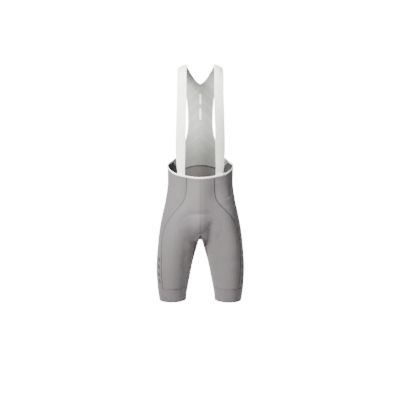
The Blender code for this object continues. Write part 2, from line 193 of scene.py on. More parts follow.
@dataclass(frozen=True)
class Figure:
    """The worn shape that the cloth lies on: sections of its left half, blended at the middle.

    Each section row is a height and the half oval's outermost x, innermost x, foremost y and
    rearmost y, in millimetres.
    """

    sections: tuple[tuple[float, ...], ...] = (
        (-906, 158.2, 55.6, -66, 63),
        (-877, 163.2, 52.6, -69, 66),
        (-853, 166.2, 48.8, -72, 69.5),
        (-830, 168.0, 44.9, -75, 73),
        (-806, 169.5, 40.2, -78, 77),
        (-782, 170.2, 35.2, -80.5, 81),
        (-759, 169.9, 30.1, -83, 85),
        (-735, 168.5, 24.0, -85, 89),
        (-712, 166.8, 17.6, -87, 94),
        (-688, 164.7, 10.4, -88.5, 100),
        (-665, 162.6, 3.2, -90, 108),
        (-642, 159.9, -12.5, -91.5, 116),
        (-618, 156.3, -33.5, -93.5, 121),
        (-595, 152.0, -56.5, -95.5, 122.5),
        (-572, 147.2, -80.5, -97.5, 121),
        (-548, 141.7, -103.2, -99, 118),
        (-525, 136.3, -119, -99, 113),
        (-502, 132.2, -128.5, -98, 107),
        (-479, 128.2, -128.2, -96.5, 101),
        (-456, 125.6, -125.6, -95, 96),
        (-434, 125.1, -125.1, -94.5, 92),
        (-390, 126, -126, -95.5, 89.5),
        (-340, 127.5, -127.5, -99, 86),
        (-300, 131, -131, -104, 85),
        (-250, 138, -138, -110, 89),
        (-200, 146, -146, -112, 96),
        (-160, 151, -151, -111, 99),
        (-120, 154, -154, -105, 99),
        (-90, 155, -155, -98, 96),
        (-65, 155, -155, -89, 89),
        (-47, 155, -155, -79, 79),
        (-32, 155, -155, -66.5, 66.5),
        (-19, 155, -155, -51.5, 51.5),
        (-9.5, 155, -155, -37, 37),
        (-4, 155, -155, -24, 24),
        (-1, 155, -155, -12, 12),
        (0, 155, -155, 0, 0),
    )
    roundness: float = 2.2
    crease_fill: float = 14 * MM
    crease_share: float = 0.8
    fullness_centre: tuple[float, float, float] = (0, -0.036, -0.606)
    fullness_radii: tuple[float, float, float] = (0.056, 0.062, 0.048)
    fullness_blend: float = 0.030
    reach: float = 0.26
    halvings: int = 30
    torso_depth: float = 0.090
    flat_top: tuple[float, float] = (-0.120, -0.020)
    shoulder_start: float = 0.050
    shoulder_rise: float = 0.0012
    shoulder_fall: float = 12.5
    shoulder_zone: tuple[float, float] = (-0.150, -0.060)

    def section(self, column: int, height: Numbers) -> np.ndarray:
        """One column of the sections at a height, in metres."""
        table = np.array(self.sections) * MM
        return smooth_curve(table[:, 0], table[:, column], height)

    def half_axis(self, height: Numbers) -> tuple[np.ndarray, ...]:
        """Measures one half's oval.

        Args:
            height: Where, in metres.

        Returns:
            Its centre's x and y, its half width and its half depth.
        """
        outer, inner, front, back = (self.section(column, height) for column in (1, 2, 3, 4))
        depth = np.maximum((back - front) / 2, 0.1 * MM)
        return (outer + inner) / 2, (front + back) / 2, (outer - inner) / 2, depth

    @staticmethod
    def blend(first: np.ndarray, second: np.ndarray, reach: Numbers) -> np.ndarray:
        """The lesser of two distances, with the hollow between them filled.

        Args:
            first: Distance from one shape.
            second: Distance from the other.
            reach: How far apart the two may be and still blend.

        Returns:
            Distance from the blended shape.
        """
        reach = np.maximum(reach, 1e-6)
        share = np.maximum(reach - np.abs(first - second), 0) / reach
        return np.minimum(first, second) - share**2 * reach / 4

    def distance(self, x: np.ndarray, y: np.ndarray, z: np.ndarray) -> np.ndarray:
        """About how far points are outside the figure.

        Args:
            x: Their x.
            y: Their y.
            z: Their heights.

        Returns:
            The distances, negative inside.
        """
        centre_x, centre_y, half_width, half_depth = self.half_axis(z)
        depth_share = np.abs((y - centre_y) / half_depth) ** self.roundness
        halves = []
        for side in Side:
            width_share = np.abs((side.value * x - centre_x) / half_width) ** self.roundness
            oval = (width_share + depth_share) ** (1 / self.roundness)
            halves.append((oval - 1) * np.sqrt(half_width * half_depth))
        fill = np.minimum(self.crease_fill, self.crease_share * centre_x)
        body = self.blend(halves[0], halves[1], fill)
        places = zip((x, y, z), self.fullness_centre, self.fullness_radii)
        shares = ((value - middle) / radius for value, middle, radius in places)
        fullness = np.sqrt(sum(share**2 for share in shares))
        return self.blend(body, (fullness - 1) * min(self.fullness_radii), self.fullness_blend)

    def ray(self, start: Sequence[Numbers], direction: Sequence[Numbers]) -> np.ndarray:
        """Follows rays until they leave the figure or meet the middle plane.

        Args:
            start: x, y and z of their starts.
            direction: x, y and z of their directions.

        Returns:
            How far each goes.
        """
        low = np.zeros(np.broadcast(*start, direction[0]).shape)
        to_middle = start[0] / np.maximum(-direction[0], 1e-9)
        inward = np.minimum(to_middle, self.reach)
        high = low + np.where(direction[0] < -1e-9, inward, self.reach)
        for _ in range(self.halvings):
            middle = (low + high) / 2
            inside = self.distance(*(start[k] + direction[k] * middle for k in range(3))) < 0
            low, high = np.where(inside, middle, low), np.where(inside, high, middle)
        return (low + high) / 2

    def skin(self, degrees: Numbers, height: Numbers) -> Grid:
        """Points of the figure's left half.

        Args:
            degrees: Angles about the half's axis: 0 in front, 90 at the side, 180 behind.
            height: Heights, in metres.

        Returns:
            The points.
        """
        degrees, height = np.broadcast_arrays(np.asarray(degrees, float), np.asarray(height, float))
        centre_x, centre_y, _, _ = self.half_axis(height)
        angle = np.radians(degrees)
        direction = (np.sin(angle), -np.cos(angle), np.zeros_like(angle))
        reach = self.ray((centre_x, centre_y, height), direction)
        return np.stack(
            [centre_x + direction[0] * reach, centre_y + direction[1] * reach, height], axis=-1
        )

    def outward(self, points: Grid) -> Grid:
        """Finds which way the figure faces.

        Args:
            points: Points on it.

        Returns:
            Their unit normals.
        """
        step = 0.5 * MM * np.eye(3)
        slopes = [
            self.distance(*np.moveaxis(points + shift, -1, 0))
            - self.distance(*np.moveaxis(points - shift, -1, 0))
            for shift in step
        ]
        return unit(np.stack(slopes, axis=-1))

    def angle_of(self, x: Numbers, y: Numbers, height: Numbers) -> np.ndarray:
        """The angle at which a place lies from its half's axis.

        Args:
            x: Its x.
            y: Its y.
            height: Its height.

        Returns:
            Degrees, from -90 to 270.
        """
        centre_x, centre_y, _, _ = self.half_axis(height)
        degrees = np.degrees(np.arctan2(x - centre_x, centre_y - y))
        return np.where(degrees < -90 - 1e-9, degrees + 360, degrees)

    def angle_at_x(self, x: Numbers, height: Numbers, way: int) -> np.ndarray:
        """The angle of a place on the front or the back.

        Args:
            x: Its x.
            height: Its height.
            way: -1 for the front, 1 for the back.

        Returns:
            Degrees about the half's axis.
        """
        height = np.asarray(height, float)
        _, centre_y, _, _ = self.half_axis(height)
        zero = np.zeros_like(height)
        reach = self.ray((x + zero, centre_y, height), (zero, zero + way, zero))
        return self.angle_of(x + zero, centre_y + way * reach, height)

    def torso_y(self, x: Numbers, height: Numbers, way: int) -> np.ndarray:
        """Finds the torso's front or back above the waist.

        Args:
            x: Where across.
            height: Where up.
            way: -1 for the front, 1 for the back.

        Returns:
            Its y.
        """
        roundness = 1 - ramp(height, *self.flat_top)
        _, _, half_width, half_depth = self.half_axis(height)
        share = (1 - np.abs(x / half_width) ** self.roundness) ** (1 / self.roundness)
        profile = self.section(3 if way < 0 else 4, height)
        return profile - way * np.maximum(half_depth, self.torso_depth) * (1 - share) * roundness

    def shoulder_drop(self, x: Numbers, height: Numbers) -> np.ndarray:
        """How far the shoulder's slope moves a point up near the top. It is negative outwards."""
        out = np.maximum(np.abs(x) - self.shoulder_start, 0)
        drop = self.shoulder_rise - self.shoulder_fall * out**2
        return drop * ramp(height, *self.shoulder_zone)


@dataclass(frozen=True)
class CutLines:
    """The lines along which the panels are cut, as angles and heights on the figure."""

    figure: Figure = Figure()
    band_top: float = -0.849
    hem: float = -0.902
    front_apex: float = -0.641
    back_apex: float = -0.634
    tape_height: float = 5.5 * MM
    corner_top: float = 115
    corner_low: float = 132
    front_seam_rim: float = 22.0
    rim: tuple[tuple[float, float], ...] = (
        (0, -422.5),
        (12, -421.7),
        (24, -419.8),
        (34, -416.8),
        (45, -413.2),
        (57, -407.6),
        (64, -402.2),
        (71, -395.5),
        (80, -388.3),
        (90, -381.5),
        (102, -374.2),
        (115, -366),
    )
    back: tuple[tuple[float, float], ...] = (
        (132, -409.5),
        (141, -401.7),
        (150, -393.9),
        (160, -389.4),
        (170, -387.3),
        (180, -386.8),
    )
    front: tuple[tuple[float, float], ...] = (
        (-849, 143.6),
        (-826, 145.6),
        (-778, 148.1),
        (-735, 148.0),
        (-688, 147.4),
        (-641, 143.0),
        (-611, 134.1),
        (-583, 120.0),
        (-561, 105.0),
        (-543, 89.0),
        (-524, 73.0),
        (-503, 61.0),
        (-474, 55.0),
        (-425, 52.5),
    )
    seat: tuple[tuple[float, float], ...] = (
        (-849, 122),
        (-700, 124),
        (-600, 126),
        (-520, 129),
        (-460, 131),
        (-409.5, 132),
    )
    gusset: tuple[tuple[float, float], ...] = (
        (-849, 6),
        (-806, 10),
        (-759, 20),
        (-708, 34),
        (-676, 42),
        (-656, 45),
    )

    def rim_height(self, degrees: Numbers) -> np.ndarray:
        """Top of the waist tape."""
        angles, heights = np.array(self.rim, float).T
        return smooth_curve(angles, heights * MM, degrees)

    def top(self, degrees: Numbers) -> np.ndarray:
        """Top edge of the stretch panels: under the tape, down the corner, then the net's seam.

        Args:
            degrees: Angles on the figure.

        Returns:
            The heights there.
        """
        degrees = np.asarray(degrees, float)
        corner = self.rim_height(self.corner_top) - self.tape_height
        low = self.back[0][1] * MM
        span = self.corner_low - self.corner_top
        slant = corner + (low - corner) * (degrees - self.corner_top) / span
        angles, heights = np.array(self.back, float).T
        behind = smooth_curve(angles, heights * MM, degrees)
        under_tape = self.rim_height(degrees) - self.tape_height
        past = np.where(degrees <= self.corner_low, slant, behind)
        return np.where(degrees <= self.corner_top, under_tape, past)

    def front_seam(self, height: Numbers) -> np.ndarray:
        """Angle of the seam between front and side."""
        heights, x = np.array(self.front, float).T * MM
        return self.figure.angle_at_x(smooth_curve(heights, x, height), height, -1)

    def front_seam_top(self) -> float:
        """Height at which the front seam meets the tape."""
        return float(self.top(self.front_seam_rim))

    def seat_seam(self, height: Numbers) -> np.ndarray:
        """Angle of the seam between side and seat."""
        heights, degrees = np.array(self.seat, float).T
        return smooth_curve(heights * MM, degrees, height)

    def inner_edge(self, height: Numbers, way: int) -> np.ndarray:
        """Angle of the middle seam down to the gusset, then of the gusset's own seam.

        Args:
            height: Heights, in metres.
            way: -1 for the front, 1 for the back.

        Returns:
            The angles.
        """
        height = np.asarray(height, float)
        apex = self.front_apex if way < 0 else self.back_apex
        heights, degrees = np.array(self.gusset, float).T
        low = heights[-1] * MM
        span = smooth_curve(heights * MM, degrees, np.minimum(height, low))
        seam = 90 + way * (180 - span)
        rise = (self.figure.angle_at_x(0.0, apex, way) - seam) * ramp(height, low, apex)
        middle = self.figure.angle_at_x(0.0, np.maximum(height, apex), way)
        return np.where(height >= apex, middle, seam + rise)

    def front_inner(self, height: Numbers) -> np.ndarray:
        """Angle of a front panel's inner edge."""
        return self.inner_edge(height, -1)

    def seat_inner(self, height: Numbers) -> np.ndarray:
        """Angle of a seat panel's inner edge."""
        return self.inner_edge(height, 1)


@dataclass(frozen=True)
class Crease:
    """A soft trough in the cloth, or a ridge where its depth is negative.

    Its ends are given as an angle or an x, and a height in metres on the figure. Its width and
    depth are in millimetres.
    """

    side: Side
    start: tuple[float, float]
    end: tuple[float, float]
    width: float
    depth: float
    given: Given = Given.ANGLE
    end_share: float = 0.05
    fade_power: float = 0.7

    def relief(self, figure: Figure, points: Grid) -> np.ndarray:
        """Works out what it does to the cloth.

        Args:
            figure: What the cloth lies on.
            points: Points of the cloth.

        Returns:
            How far it moves each of them outwards.
        """
        around, heights = np.array([self.start, self.end], float).T
        if self.given is Given.FRONT_X:
            around = figure.angle_at_x(around, heights, -1)
        first, last = figure.skin(around, heights) * np.array([self.side.value, 1, 1])
        along = last - first
        share = np.clip((points - first) @ along / (along @ along), 0, 1)
        away = np.linalg.norm(points - first - share[..., None] * along, axis=-1)
        inner = self.end_share + share * (1 - 2 * self.end_share)
        fade = np.sin(np.pi * inner) ** self.fade_power
        return -self.depth * MM * fade * np.exp(-((away / (self.width * MM)) ** 2))


def crease_pair(
    start: tuple[float, float], end: tuple[float, float], width: float, depth: float
) -> tuple[Crease, Crease]:
    """Makes the same crease on both sides, a little different on the right.

    Args:
        start: Angle and height of one end.
        end: Angle and height of the other.
        width: Its width, in millimetres.
        depth: Its depth, in millimetres.

    Returns:
        The two creases.
    """
    low = (end[0] + 4, end[1] + 0.006)
    return (
        Crease(Side.LEFT, start, end, width, depth),
        Crease(Side.RIGHT, start, low, width * 1.1, depth * 0.85),
    )


@dataclass(frozen=True)
class Relief:
    """What the cloth does on the figure: creases, seams that pull in, and the pad's edge."""

    figure: Figure = Figure()
    lines: CutLines = CutLines()
    creases: tuple[Crease, ...] = (
        Crease(Side.LEFT, (0, -0.412), (0, -0.638), 26, -8.3, Given.FRONT_X),
        Crease(Side.LEFT, (0.043, -0.588), (0.024, -0.659), 17, 9.0, Given.FRONT_X),
        Crease(Side.LEFT, (0, -0.560), (0, -0.634), 32, -7.5, Given.FRONT_X),
        Crease(Side.RIGHT, (0.042, -0.606), (0.030, -0.650), 12, 2.6, Given.FRONT_X),
        Crease(Side.RIGHT, (0.053, -0.640), (0.062, -0.925), 18, 5.0, Given.FRONT_X),
        Crease(Side.RIGHT, (0.100, -0.630), (0.113, -0.905), 23, -5.0, Given.FRONT_X),
        Crease(Side.LEFT, (0.060, -0.450), (0.068, -0.525), 28, 4.0, Given.FRONT_X),
        Crease(Side.LEFT, (0.092, -0.530), (0.130, -0.740), 34, -9.0, Given.FRONT_X),
        Crease(Side.LEFT, (0.128, -0.670), (0.119, -0.920), 31, -8.0, Given.FRONT_X),
        Crease(Side.LEFT, (0.064, -0.660), (0.068, -0.915), 20, 3.0, Given.FRONT_X),
        Crease(Side.LEFT, (70, -0.408), (66, -0.492), 9, 3.0),
        Crease(Side.LEFT, (54, -0.502), (80, -0.478), 4, 1.8),
        Crease(Side.LEFT, (50, -0.512), (78, -0.489), 4, -1.0),
        Crease(Side.LEFT, (44, -0.470), (60, -0.520), 8, 1.2),
        Crease(Side.RIGHT, (52, -0.500), (42, -0.545), 9, 1.4),
        Crease(Side.RIGHT, (62, -0.450), (56, -0.500), 12, 1.2),
        Crease(Side.LEFT, (42, -0.893), (78, -0.874), 4, 1.5),
        Crease(Side.LEFT, (50, -0.900), (84, -0.884), 4, -0.8),
        Crease(Side.RIGHT, (100, -0.880), (135, -0.895), 5, 1.2),
        *crease_pair((-52, -0.652), (-20, -0.628), 5, 1.5),
        *crease_pair((-58, -0.672), (-24, -0.662), 5, 1.4),
        *crease_pair((-46, -0.640), (-30, -0.612), 8, 1.6),
        *crease_pair((-62, -0.700), (-30, -0.720), 8, 1.4),
        *crease_pair((188, -0.668), (236, -0.652), 9, 2.6),
        *crease_pair((196, -0.684), (232, -0.672), 8, -1.2),
        *crease_pair((150, -0.450), (172, -0.478), 9, 1.5),
        *crease_pair((96, -0.470), (128, -0.500), 9, 1.6),
        *crease_pair((100, -0.540), (130, -0.520), 10, 1.2),
        *crease_pair((200, -0.740), (236, -0.765), 9, 1.3),
        *crease_pair((150, -0.800), (190, -0.790), 8, 1.0),
    )
    pad_front: tuple[tuple[float, float], ...] = (
        (46, -566),
        (60, -576),
        (72, -588),
        (78, -603),
        (77, -620),
        (72, -636),
        (64, -650),
        (54, -664),
    )
    pad_back: tuple[tuple[float, float], ...] = (
        (0, -540),
        (28, -543),
        (54, -552),
        (74, -568),
        (84, -592),
        (82, -616),
        (70, -638),
    )
    seam_pull: tuple[tuple[float, float], ...] = (
        (-880, 0.5),
        (-660, 0.6),
        (-600, 1.2),
        (-540, 3.2),
        (-500, 4.2),
        (-465, 4.0),
        (-430, 2.6),
        (-405, 1.4),
    )
    seam_pull_width: float = 20 * MM
    pad_groove: float = 0.4 * MM
    pad_groove_width: float = 3.2 * MM
    pad_rise: float = 0.6 * MM
    pad_side_edge: tuple[float, float] = (-2 * MM, 5 * MM)
    pad_top_edge: tuple[float, float] = (-4 * MM, 6 * MM)
    pad_low_edge: tuple[float, float] = (-10 * MM, 12 * MM)
    pad_facing: tuple[float, float] = (10 * MM, 30 * MM)
    line_points: tuple[int, int] = (60, 160)

    def pad_line(self, table: tuple[tuple[float, float], ...], way: int) -> Grid:
        """The pad's outline on the figure's left half.

        Args:
            table: x and height of its points, in millimetres.
            way: -1 on the front, 1 on the back.

        Returns:
            Close points along it.
        """
        x, height = np.array(table, float).T * MM
        steps = np.linspace(0, len(table) - 1, self.line_points[0])
        x = smooth_curve(range(len(table)), x, steps)
        height = smooth_curve(range(len(table)), height, steps)
        return self.figure.skin(self.figure.angle_at_x(x, height, way), height)

    def front_seam(self) -> Grid:
        """Close points along the left front seam."""
        ends = (self.lines.front_seam_top(), self.lines.band_top)
        heights = np.linspace(*ends, self.line_points[1])
        return self.figure.skin(self.lines.front_seam(heights), heights)

    @staticmethod
    def nearest(points: Grid, line: Grid) -> np.ndarray:
        """Measures how far points are from a line.

        Args:
            points: Points on the left half.
            line: The line, as close points.

        Returns:
            Each point's distance from the nearest of them.
        """
        near = np.full(len(points), np.inf)
        for spot in line:
            near = np.minimum(near, np.linalg.norm(points - spot, axis=1))
        return near

    def seam_relief(self, folded: Grid) -> np.ndarray:
        """Works out how the front seams pull the cloth in.

        Args:
            folded: Points of the cloth, those of the right half mirrored to the left.

        Returns:
            How far that moves each point outwards, below 0 here.
        """
        heights, pull = np.array(self.seam_pull).T * MM
        away = self.nearest(folded, self.front_seam()) / self.seam_pull_width
        return -smooth_curve(heights, pull, folded[:, 2]) * np.exp(-(away**2))

    def pad_relief(
        self, folded: Grid, table: tuple[tuple[float, float], ...], way: int
    ) -> np.ndarray:
        """Works out how the pad inside shows: a low rise, with a groove along its outline.

        Args:
            folded: Points of the cloth, those of the right half mirrored to the left.
            table: The pad's outline there, in millimetres.
            way: -1 on the front, 1 on the back.

        Returns:
            How far it moves each point outwards.
        """
        near = self.nearest(folded, self.pad_line(table, way))
        ends = np.array(table, float) * MM
        limit = smooth_curve(ends[::-1, 1], ends[::-1, 0], folded[:, 2])
        inside = ramp(limit - folded[:, 0], *self.pad_side_edge)
        inside *= ramp(ends[0, 1] - folded[:, 2], *self.pad_top_edge)
        inside *= 1 - ramp(ends[-1, 1] - folded[:, 2], *self.pad_low_edge)
        inside *= ramp(way * folded[:, 1], *self.pad_facing)
        groove = np.exp(-((near / self.pad_groove_width) ** 2))
        return inside * self.pad_rise - groove * self.pad_groove

    def at(self, points: Grid) -> np.ndarray:
        """Adds up what moves the cloth.

        Args:
            points: A grid of points on the figure, of either half.

        Returns:
            How far the cloth stands out from the figure at each.
        """
        flat = points.reshape(-1, 3)
        folded = np.column_stack([np.abs(flat[:, 0]), flat[:, 1:]])
        shared = self.seam_relief(folded)
        for table, way in ((self.pad_front, -1), (self.pad_back, 1)):
            shared += self.pad_relief(folded, table, way)
        creased = sum(crease.relief(self.figure, points) for crease in self.creases)
        return creased + shared.reshape(points.shape[:-1])


Colour = tuple[float, float, float, float]


def shade(colour: Colour, factor: float) -> Colour:
    """The colour made lighter or darker."""
    return (colour[0] * factor, colour[1] * factor, colour[2] * factor, 1.0)


class Nodes:
    """A material's node tree, with short calls for what the cloths share."""

    def __init__(self, name: str) -> None:
        """Starts a material with an empty Principled surface."""
        self.material = bpy.data.materials.new(name)
        self.material.use_nodes = True
        self.tree = self.material.node_tree
        self.surface = self.tree.nodes["Principled BSDF"]

    def add(self, kind: str, **inputs: object) -> bpy.types.Node:
        """Adds a node and sets or links its inputs, named with _ for each space.

        Args:
            kind: The node's type.
            **inputs: A value or a socket for each input.

        Returns:
            The node.
        """
        node = self.tree.nodes.new(kind)
        for name, value in inputs.items():
            self.put(node.inputs[name.replace("_", " ")], value)
        return node

    def put(self, socket: bpy.types.NodeSocket, value: object) -> None:
        """Links a socket to another, or sets its value.

        Args:
            socket: The input.
            value: The output to link it to, or a value.
        """
        if isinstance(value, bpy.types.NodeSocket):
            self.tree.links.new(value, socket)
        else:
            socket.default_value = value

    def math(self, operation: str, *values: object) -> bpy.types.NodeSocket:
        """Adds a sum.

        Args:
            operation: What it does.
            *values: Its numbers or sockets.

        Returns:
            The result.
        """
        node = self.tree.nodes.new("ShaderNodeMath")
        node.operation = operation
        for socket, value in zip(node.inputs, values):
            self.put(socket, value)
        return node.outputs[0]

    def mix(self, share: object, first: object, second: object) -> bpy.types.NodeSocket:
        """Mixes two colours.

        Args:
            share: How much of the second.
            first: A colour or a socket.
            second: A colour or a socket.

        Returns:
            The colour between them.
        """
        node = self.tree.nodes.new("ShaderNodeMix")
        node.data_type = "RGBA"
        for place, value in ((0, share), (6, first), (7, second)):
            self.put(node.inputs[place], value)
        return node.outputs[2]

    def varied(
        self, share: object, colour: Colour, low: float, high: float
    ) -> bpy.types.NodeSocket:
        """A colour between two shades of itself."""
        return self.mix(share, shade(colour, low), shade(colour, high))

    def across_and_along(self) -> tuple[bpy.types.NodeSocket, bpy.types.NodeSocket]:
        """The cloth's own two directions, in metres, from its UV map."""
        place = self.add("ShaderNodeUVMap")
        parts = self.add("ShaderNodeSeparateXYZ", Vector=place.outputs["UV"])
        return parts.outputs["X"], parts.outputs["Y"]

    def object_place(self) -> tuple[bpy.types.NodeSocket, ...]:
        """x, y and z on the object, and their vector."""
        place = self.add("ShaderNodeTexCoord")
        parts = self.add("ShaderNodeSeparateXYZ", Vector=place.outputs["Object"])
        return (*parts.outputs, place.outputs["Object"])

    def wave(self, value: object, period: float) -> bpy.types.NodeSocket:
        """A sine from -1 to 1 with that period, in metres."""
        return self.math("SINE", self.math("MULTIPLY", value, math.tau / period))

    def noise(self, scale: float, detail: float = 3.0) -> bpy.types.NodeSocket:
        """Soft noise from 0 to 1 on the object, with that many patches a metre."""
        sizes = {"Scale": scale, "Detail": detail, "Roughness": 0.55}
        return self.add("ShaderNodeTexNoise", Vector=self.object_place()[3], **sizes).outputs[0]

    def smooth_step(self, value: object, low: float, high: float) -> bpy.types.NodeSocket:
        """Rises smoothly between two values.

        Args:
            value: The number or socket that is read.
            low: Where it is 0.
            high: Where it is 1. It may be the lesser.

        Returns:
            A socket from 0 to 1.
        """
        node = self.add(
            "ShaderNodeMapRange", Value=value, From_Min=low, From_Max=high, To_Min=0.0, To_Max=1.0
        )
        node.interpolation_type = "SMOOTHSTEP"
        return node.outputs[0]

    def within(self, value: object, half: float, soft: float) -> bpy.types.NodeSocket:
        """1 where a value lies within half of 0, and 0 past it, with a soft edge."""
        return self.smooth_step(self.math("ABSOLUTE", value), half, half - soft)

    def bump(self, height: object, distance: float, strength: float) -> None:
        """Gives the surface a relief."""
        node = self.add("ShaderNodeBump", Height=height, Distance=distance, Strength=strength)
        self.put(self.surface.inputs["Normal"], node.outputs["Normal"])

    def matt(self, colour: object, roughness: float, sheen: float, specular: float = 0.25) -> None:
        """Sets a cloth's colour, and its gloss, which is the same all over.

        Args:
            colour: The colour's socket.
            roughness: How dull it is.
            sheen: How much its fibres shine at the edge.
            specular: How much its surface mirrors.
        """
        surface = self.surface.inputs
        self.put(surface["Base Color"], colour)
        surface["Roughness"].default_value = roughness
        surface["Sheen Weight"].default_value = sheen
        surface["Sheen Roughness"].default_value = 0.45
        surface["Specular IOR Level"].default_value = specular


@dataclass(frozen=True)
class StretchKnit:
    """The body's matt warp knit: fine wales with slanted stitches, a faint heather, and painted
    shade in the grooves between the wales.
    """

    name: str = "stretch knit"
    colour: Colour = (0.115, 0.105, 0.107, 1.0)
    wale: float = 0.75 * MM
    course: float = 0.55 * MM
    heather: float = 0.07
    fine_share: float = 0.65
    groove_painted_shade: float = 0.72
    roughness: float = 0.62
    sheen: float = 0.18
    bars: bool = False

    def make(self) -> bpy.types.Material:
        """The knit as a material."""
        nodes = Nodes(self.name)
        across, along = nodes.across_and_along()
        tilt = nodes.math("MULTIPLY", nodes.wave(across, self.wale * 2), self.course * 0.6)
        stitch = nodes.wave(nodes.math("ADD", along, tilt), self.course)
        rib = nodes.math("ABSOLUTE", nodes.wave(across, self.wale * 2))
        relief = nodes.math("MULTIPLY_ADD", stitch, 0.25, rib)
        fine = nodes.noise(900.0, 1.0)
        cloud = nodes.noise(24.0, 2.0)
        patches = nodes.math("MULTIPLY", cloud, 1 - self.fine_share)
        mottle = nodes.math("MULTIPLY_ADD", fine, self.fine_share, patches)
        tone = nodes.smooth_step(mottle, 0.3, 0.7)
        body = nodes.varied(tone, self.colour, 1 - self.heather, 1 + self.heather)
        # Painted shade: the grooves between the wales are coloured darker.
        groove = shade(self.colour, self.groove_painted_shade)
        worn = nodes.mix(nodes.smooth_step(rib, 0.0, 0.55), groove, body)
        if self.bars:
            worn = nodes.mix(SideBars().mask(nodes), worn, SideBars().colour)
        nodes.matt(worn, self.roughness, self.sheen)
        nodes.bump(relief, 0.12 * MM, 0.55)
        return nodes.material


@dataclass(frozen=True)
class SideBars:
    """Four plain dark bars printed one above another on each outer leg."""

    heights: tuple[float, ...] = (-0.738, -0.766, -0.795, -0.822)
    middle_y: float = -0.048
    half_width: float = 6.5 * MM
    half_height: float = 8.2 * MM
    slant: float = 0.35
    soft: float = 0.5 * MM
    colour: Colour = (0.030, 0.027, 0.028, 1.0)

    def mask(self, nodes: Nodes) -> bpy.types.NodeSocket:
        """Masks the bars.

        Args:
            nodes: The knit's node tree.

        Returns:
            A socket that is 1 on them and 0 elsewhere.
        """
        _, y, z, _ = nodes.object_place()
        total: object = 0.0
        for height in self.heights:
            up = nodes.math("SUBTRACT", z, height)
            lean = nodes.math("MULTIPLY_ADD", up, self.slant, self.middle_y)
            in_width = nodes.within(nodes.math("SUBTRACT", y, lean), self.half_width, self.soft)
            in_height = nodes.within(up, self.half_height, self.soft)
            total = nodes.math("ADD", total, nodes.math("MULTIPLY", in_width, in_height))
        return total


@dataclass(frozen=True)
class OpenNet:
    """The back's open knit: staggered holes in rows, with broad soft tone bands that lean, and
    painted shade in the holes and towards the lower edge.
    """

    name: str = "open net"
    colour: Colour = (0.325, 0.33, 0.305, 1.0)
    pitch: float = 2.2 * MM
    row: float = 1.7 * MM
    hole_painted_shade: float = 0.42
    band_period: float = 0.046
    band_shade: float = 1.16
    bars: tuple[tuple[float, float], ...] = ((-0.107, -0.146), (-0.163, -0.207))
    bar_half_width: float = 3.6 * MM
    painted_shade_zone: tuple[float, float] = (-0.20, -0.38)
    painted_low_shade: float = 0.28
    bar_colour: Colour = (0.93, 0.93, 0.92, 1.0)

    def make(self) -> bpy.types.Material:
        """The net as a material."""
        nodes = Nodes(self.name)
        across, along = nodes.across_and_along()
        columns = nodes.wave(across, self.pitch)
        rows = nodes.wave(along, self.row * 2)
        lattice = nodes.math("MULTIPLY", columns, rows)
        hole = nodes.smooth_step(lattice, 0.18, 0.6)
        x, _, z, _ = nodes.object_place()
        lean = nodes.math("MULTIPLY_ADD", nodes.math("ABSOLUTE", x), 0.9, z)
        band = nodes.smooth_step(nodes.wave(lean, self.band_period), 0.55, 0.95)
        tone = nodes.varied(nodes.noise(30.0), self.colour, 0.95, 1.04)
        banded = nodes.mix(band, tone, shade(self.colour, self.band_shade))
        # Painted shade: the net is coloured darker towards its lower edge, where it lies in the
        # shade inside the garment.
        low = nodes.smooth_step(z, *self.painted_shade_zone)
        deep = nodes.mix(low, banded, nodes.mix(0.85, banded, shade(self.colour, self.painted_low_shade)))
        # Painted shade: the holes are coloured darker, for the dim inside seen through them.
        dark = shade(self.colour, self.hole_painted_shade)
        yarn = nodes.mix(nodes.math("MULTIPLY", hole, 0.8), deep, dark)
        total: object = 0.0
        for top, foot in self.bars:
            above = nodes.smooth_step(z, foot - 0.3 * MM, foot + 0.3 * MM)
            below = nodes.smooth_step(z, top + 0.3 * MM, top - 0.3 * MM)
            total = nodes.math("ADD", total, nodes.math("MULTIPLY", above, below))
        mask = nodes.math("MULTIPLY", nodes.within(x, self.bar_half_width, 0.6 * MM), total)
        nodes.matt(nodes.mix(mask, yarn, self.bar_colour), 0.7, 0.12)
        nodes.bump(nodes.math("SUBTRACT", 1.0, hole), 0.25 * MM, 0.6)
        return nodes.material


@dataclass(frozen=True)
class WovenElastic:
    """The straps' flat elastic: fine ribs along it with painted shade in the troughs between them,
    and a thicker selvedge at both edges.
    """

    name: str = "woven elastic"
    colour: Colour = (0.82, 0.83, 0.79, 1.0)
    rib: float = 1.3 * MM
    weft: float = 0.9 * MM
    selvedge: tuple[float, float] = (14.4 * MM, 15.2 * MM)

    def make(self) -> bpy.types.Material:
        """The elastic as a material."""
        nodes = Nodes(self.name)
        across, along = nodes.across_and_along()
        rib = nodes.wave(across, self.rib)
        weft = nodes.wave(nodes.math("MULTIPLY_ADD", rib, self.weft * 0.25, along), self.weft)
        edge = nodes.smooth_step(nodes.math("ABSOLUTE", across), *self.selvedge)
        relief = nodes.math("ADD", nodes.math("MULTIPLY_ADD", weft, 0.3, rib), edge)
        patch = nodes.smooth_step(nodes.noise(60.0, 4.0), 0.38, 0.62)
        tone = nodes.varied(patch, self.colour, 0.90, 1.04)
        # Painted shade: the troughs between the ribs are coloured darker.
        deep = nodes.mix(nodes.smooth_step(rib, -1.0, -0.3), shade(self.colour, 0.80), tone)
        nodes.matt(deep, 0.58, 0.15)
        nodes.bump(relief, 0.15 * MM, 0.5)
        return nodes.material


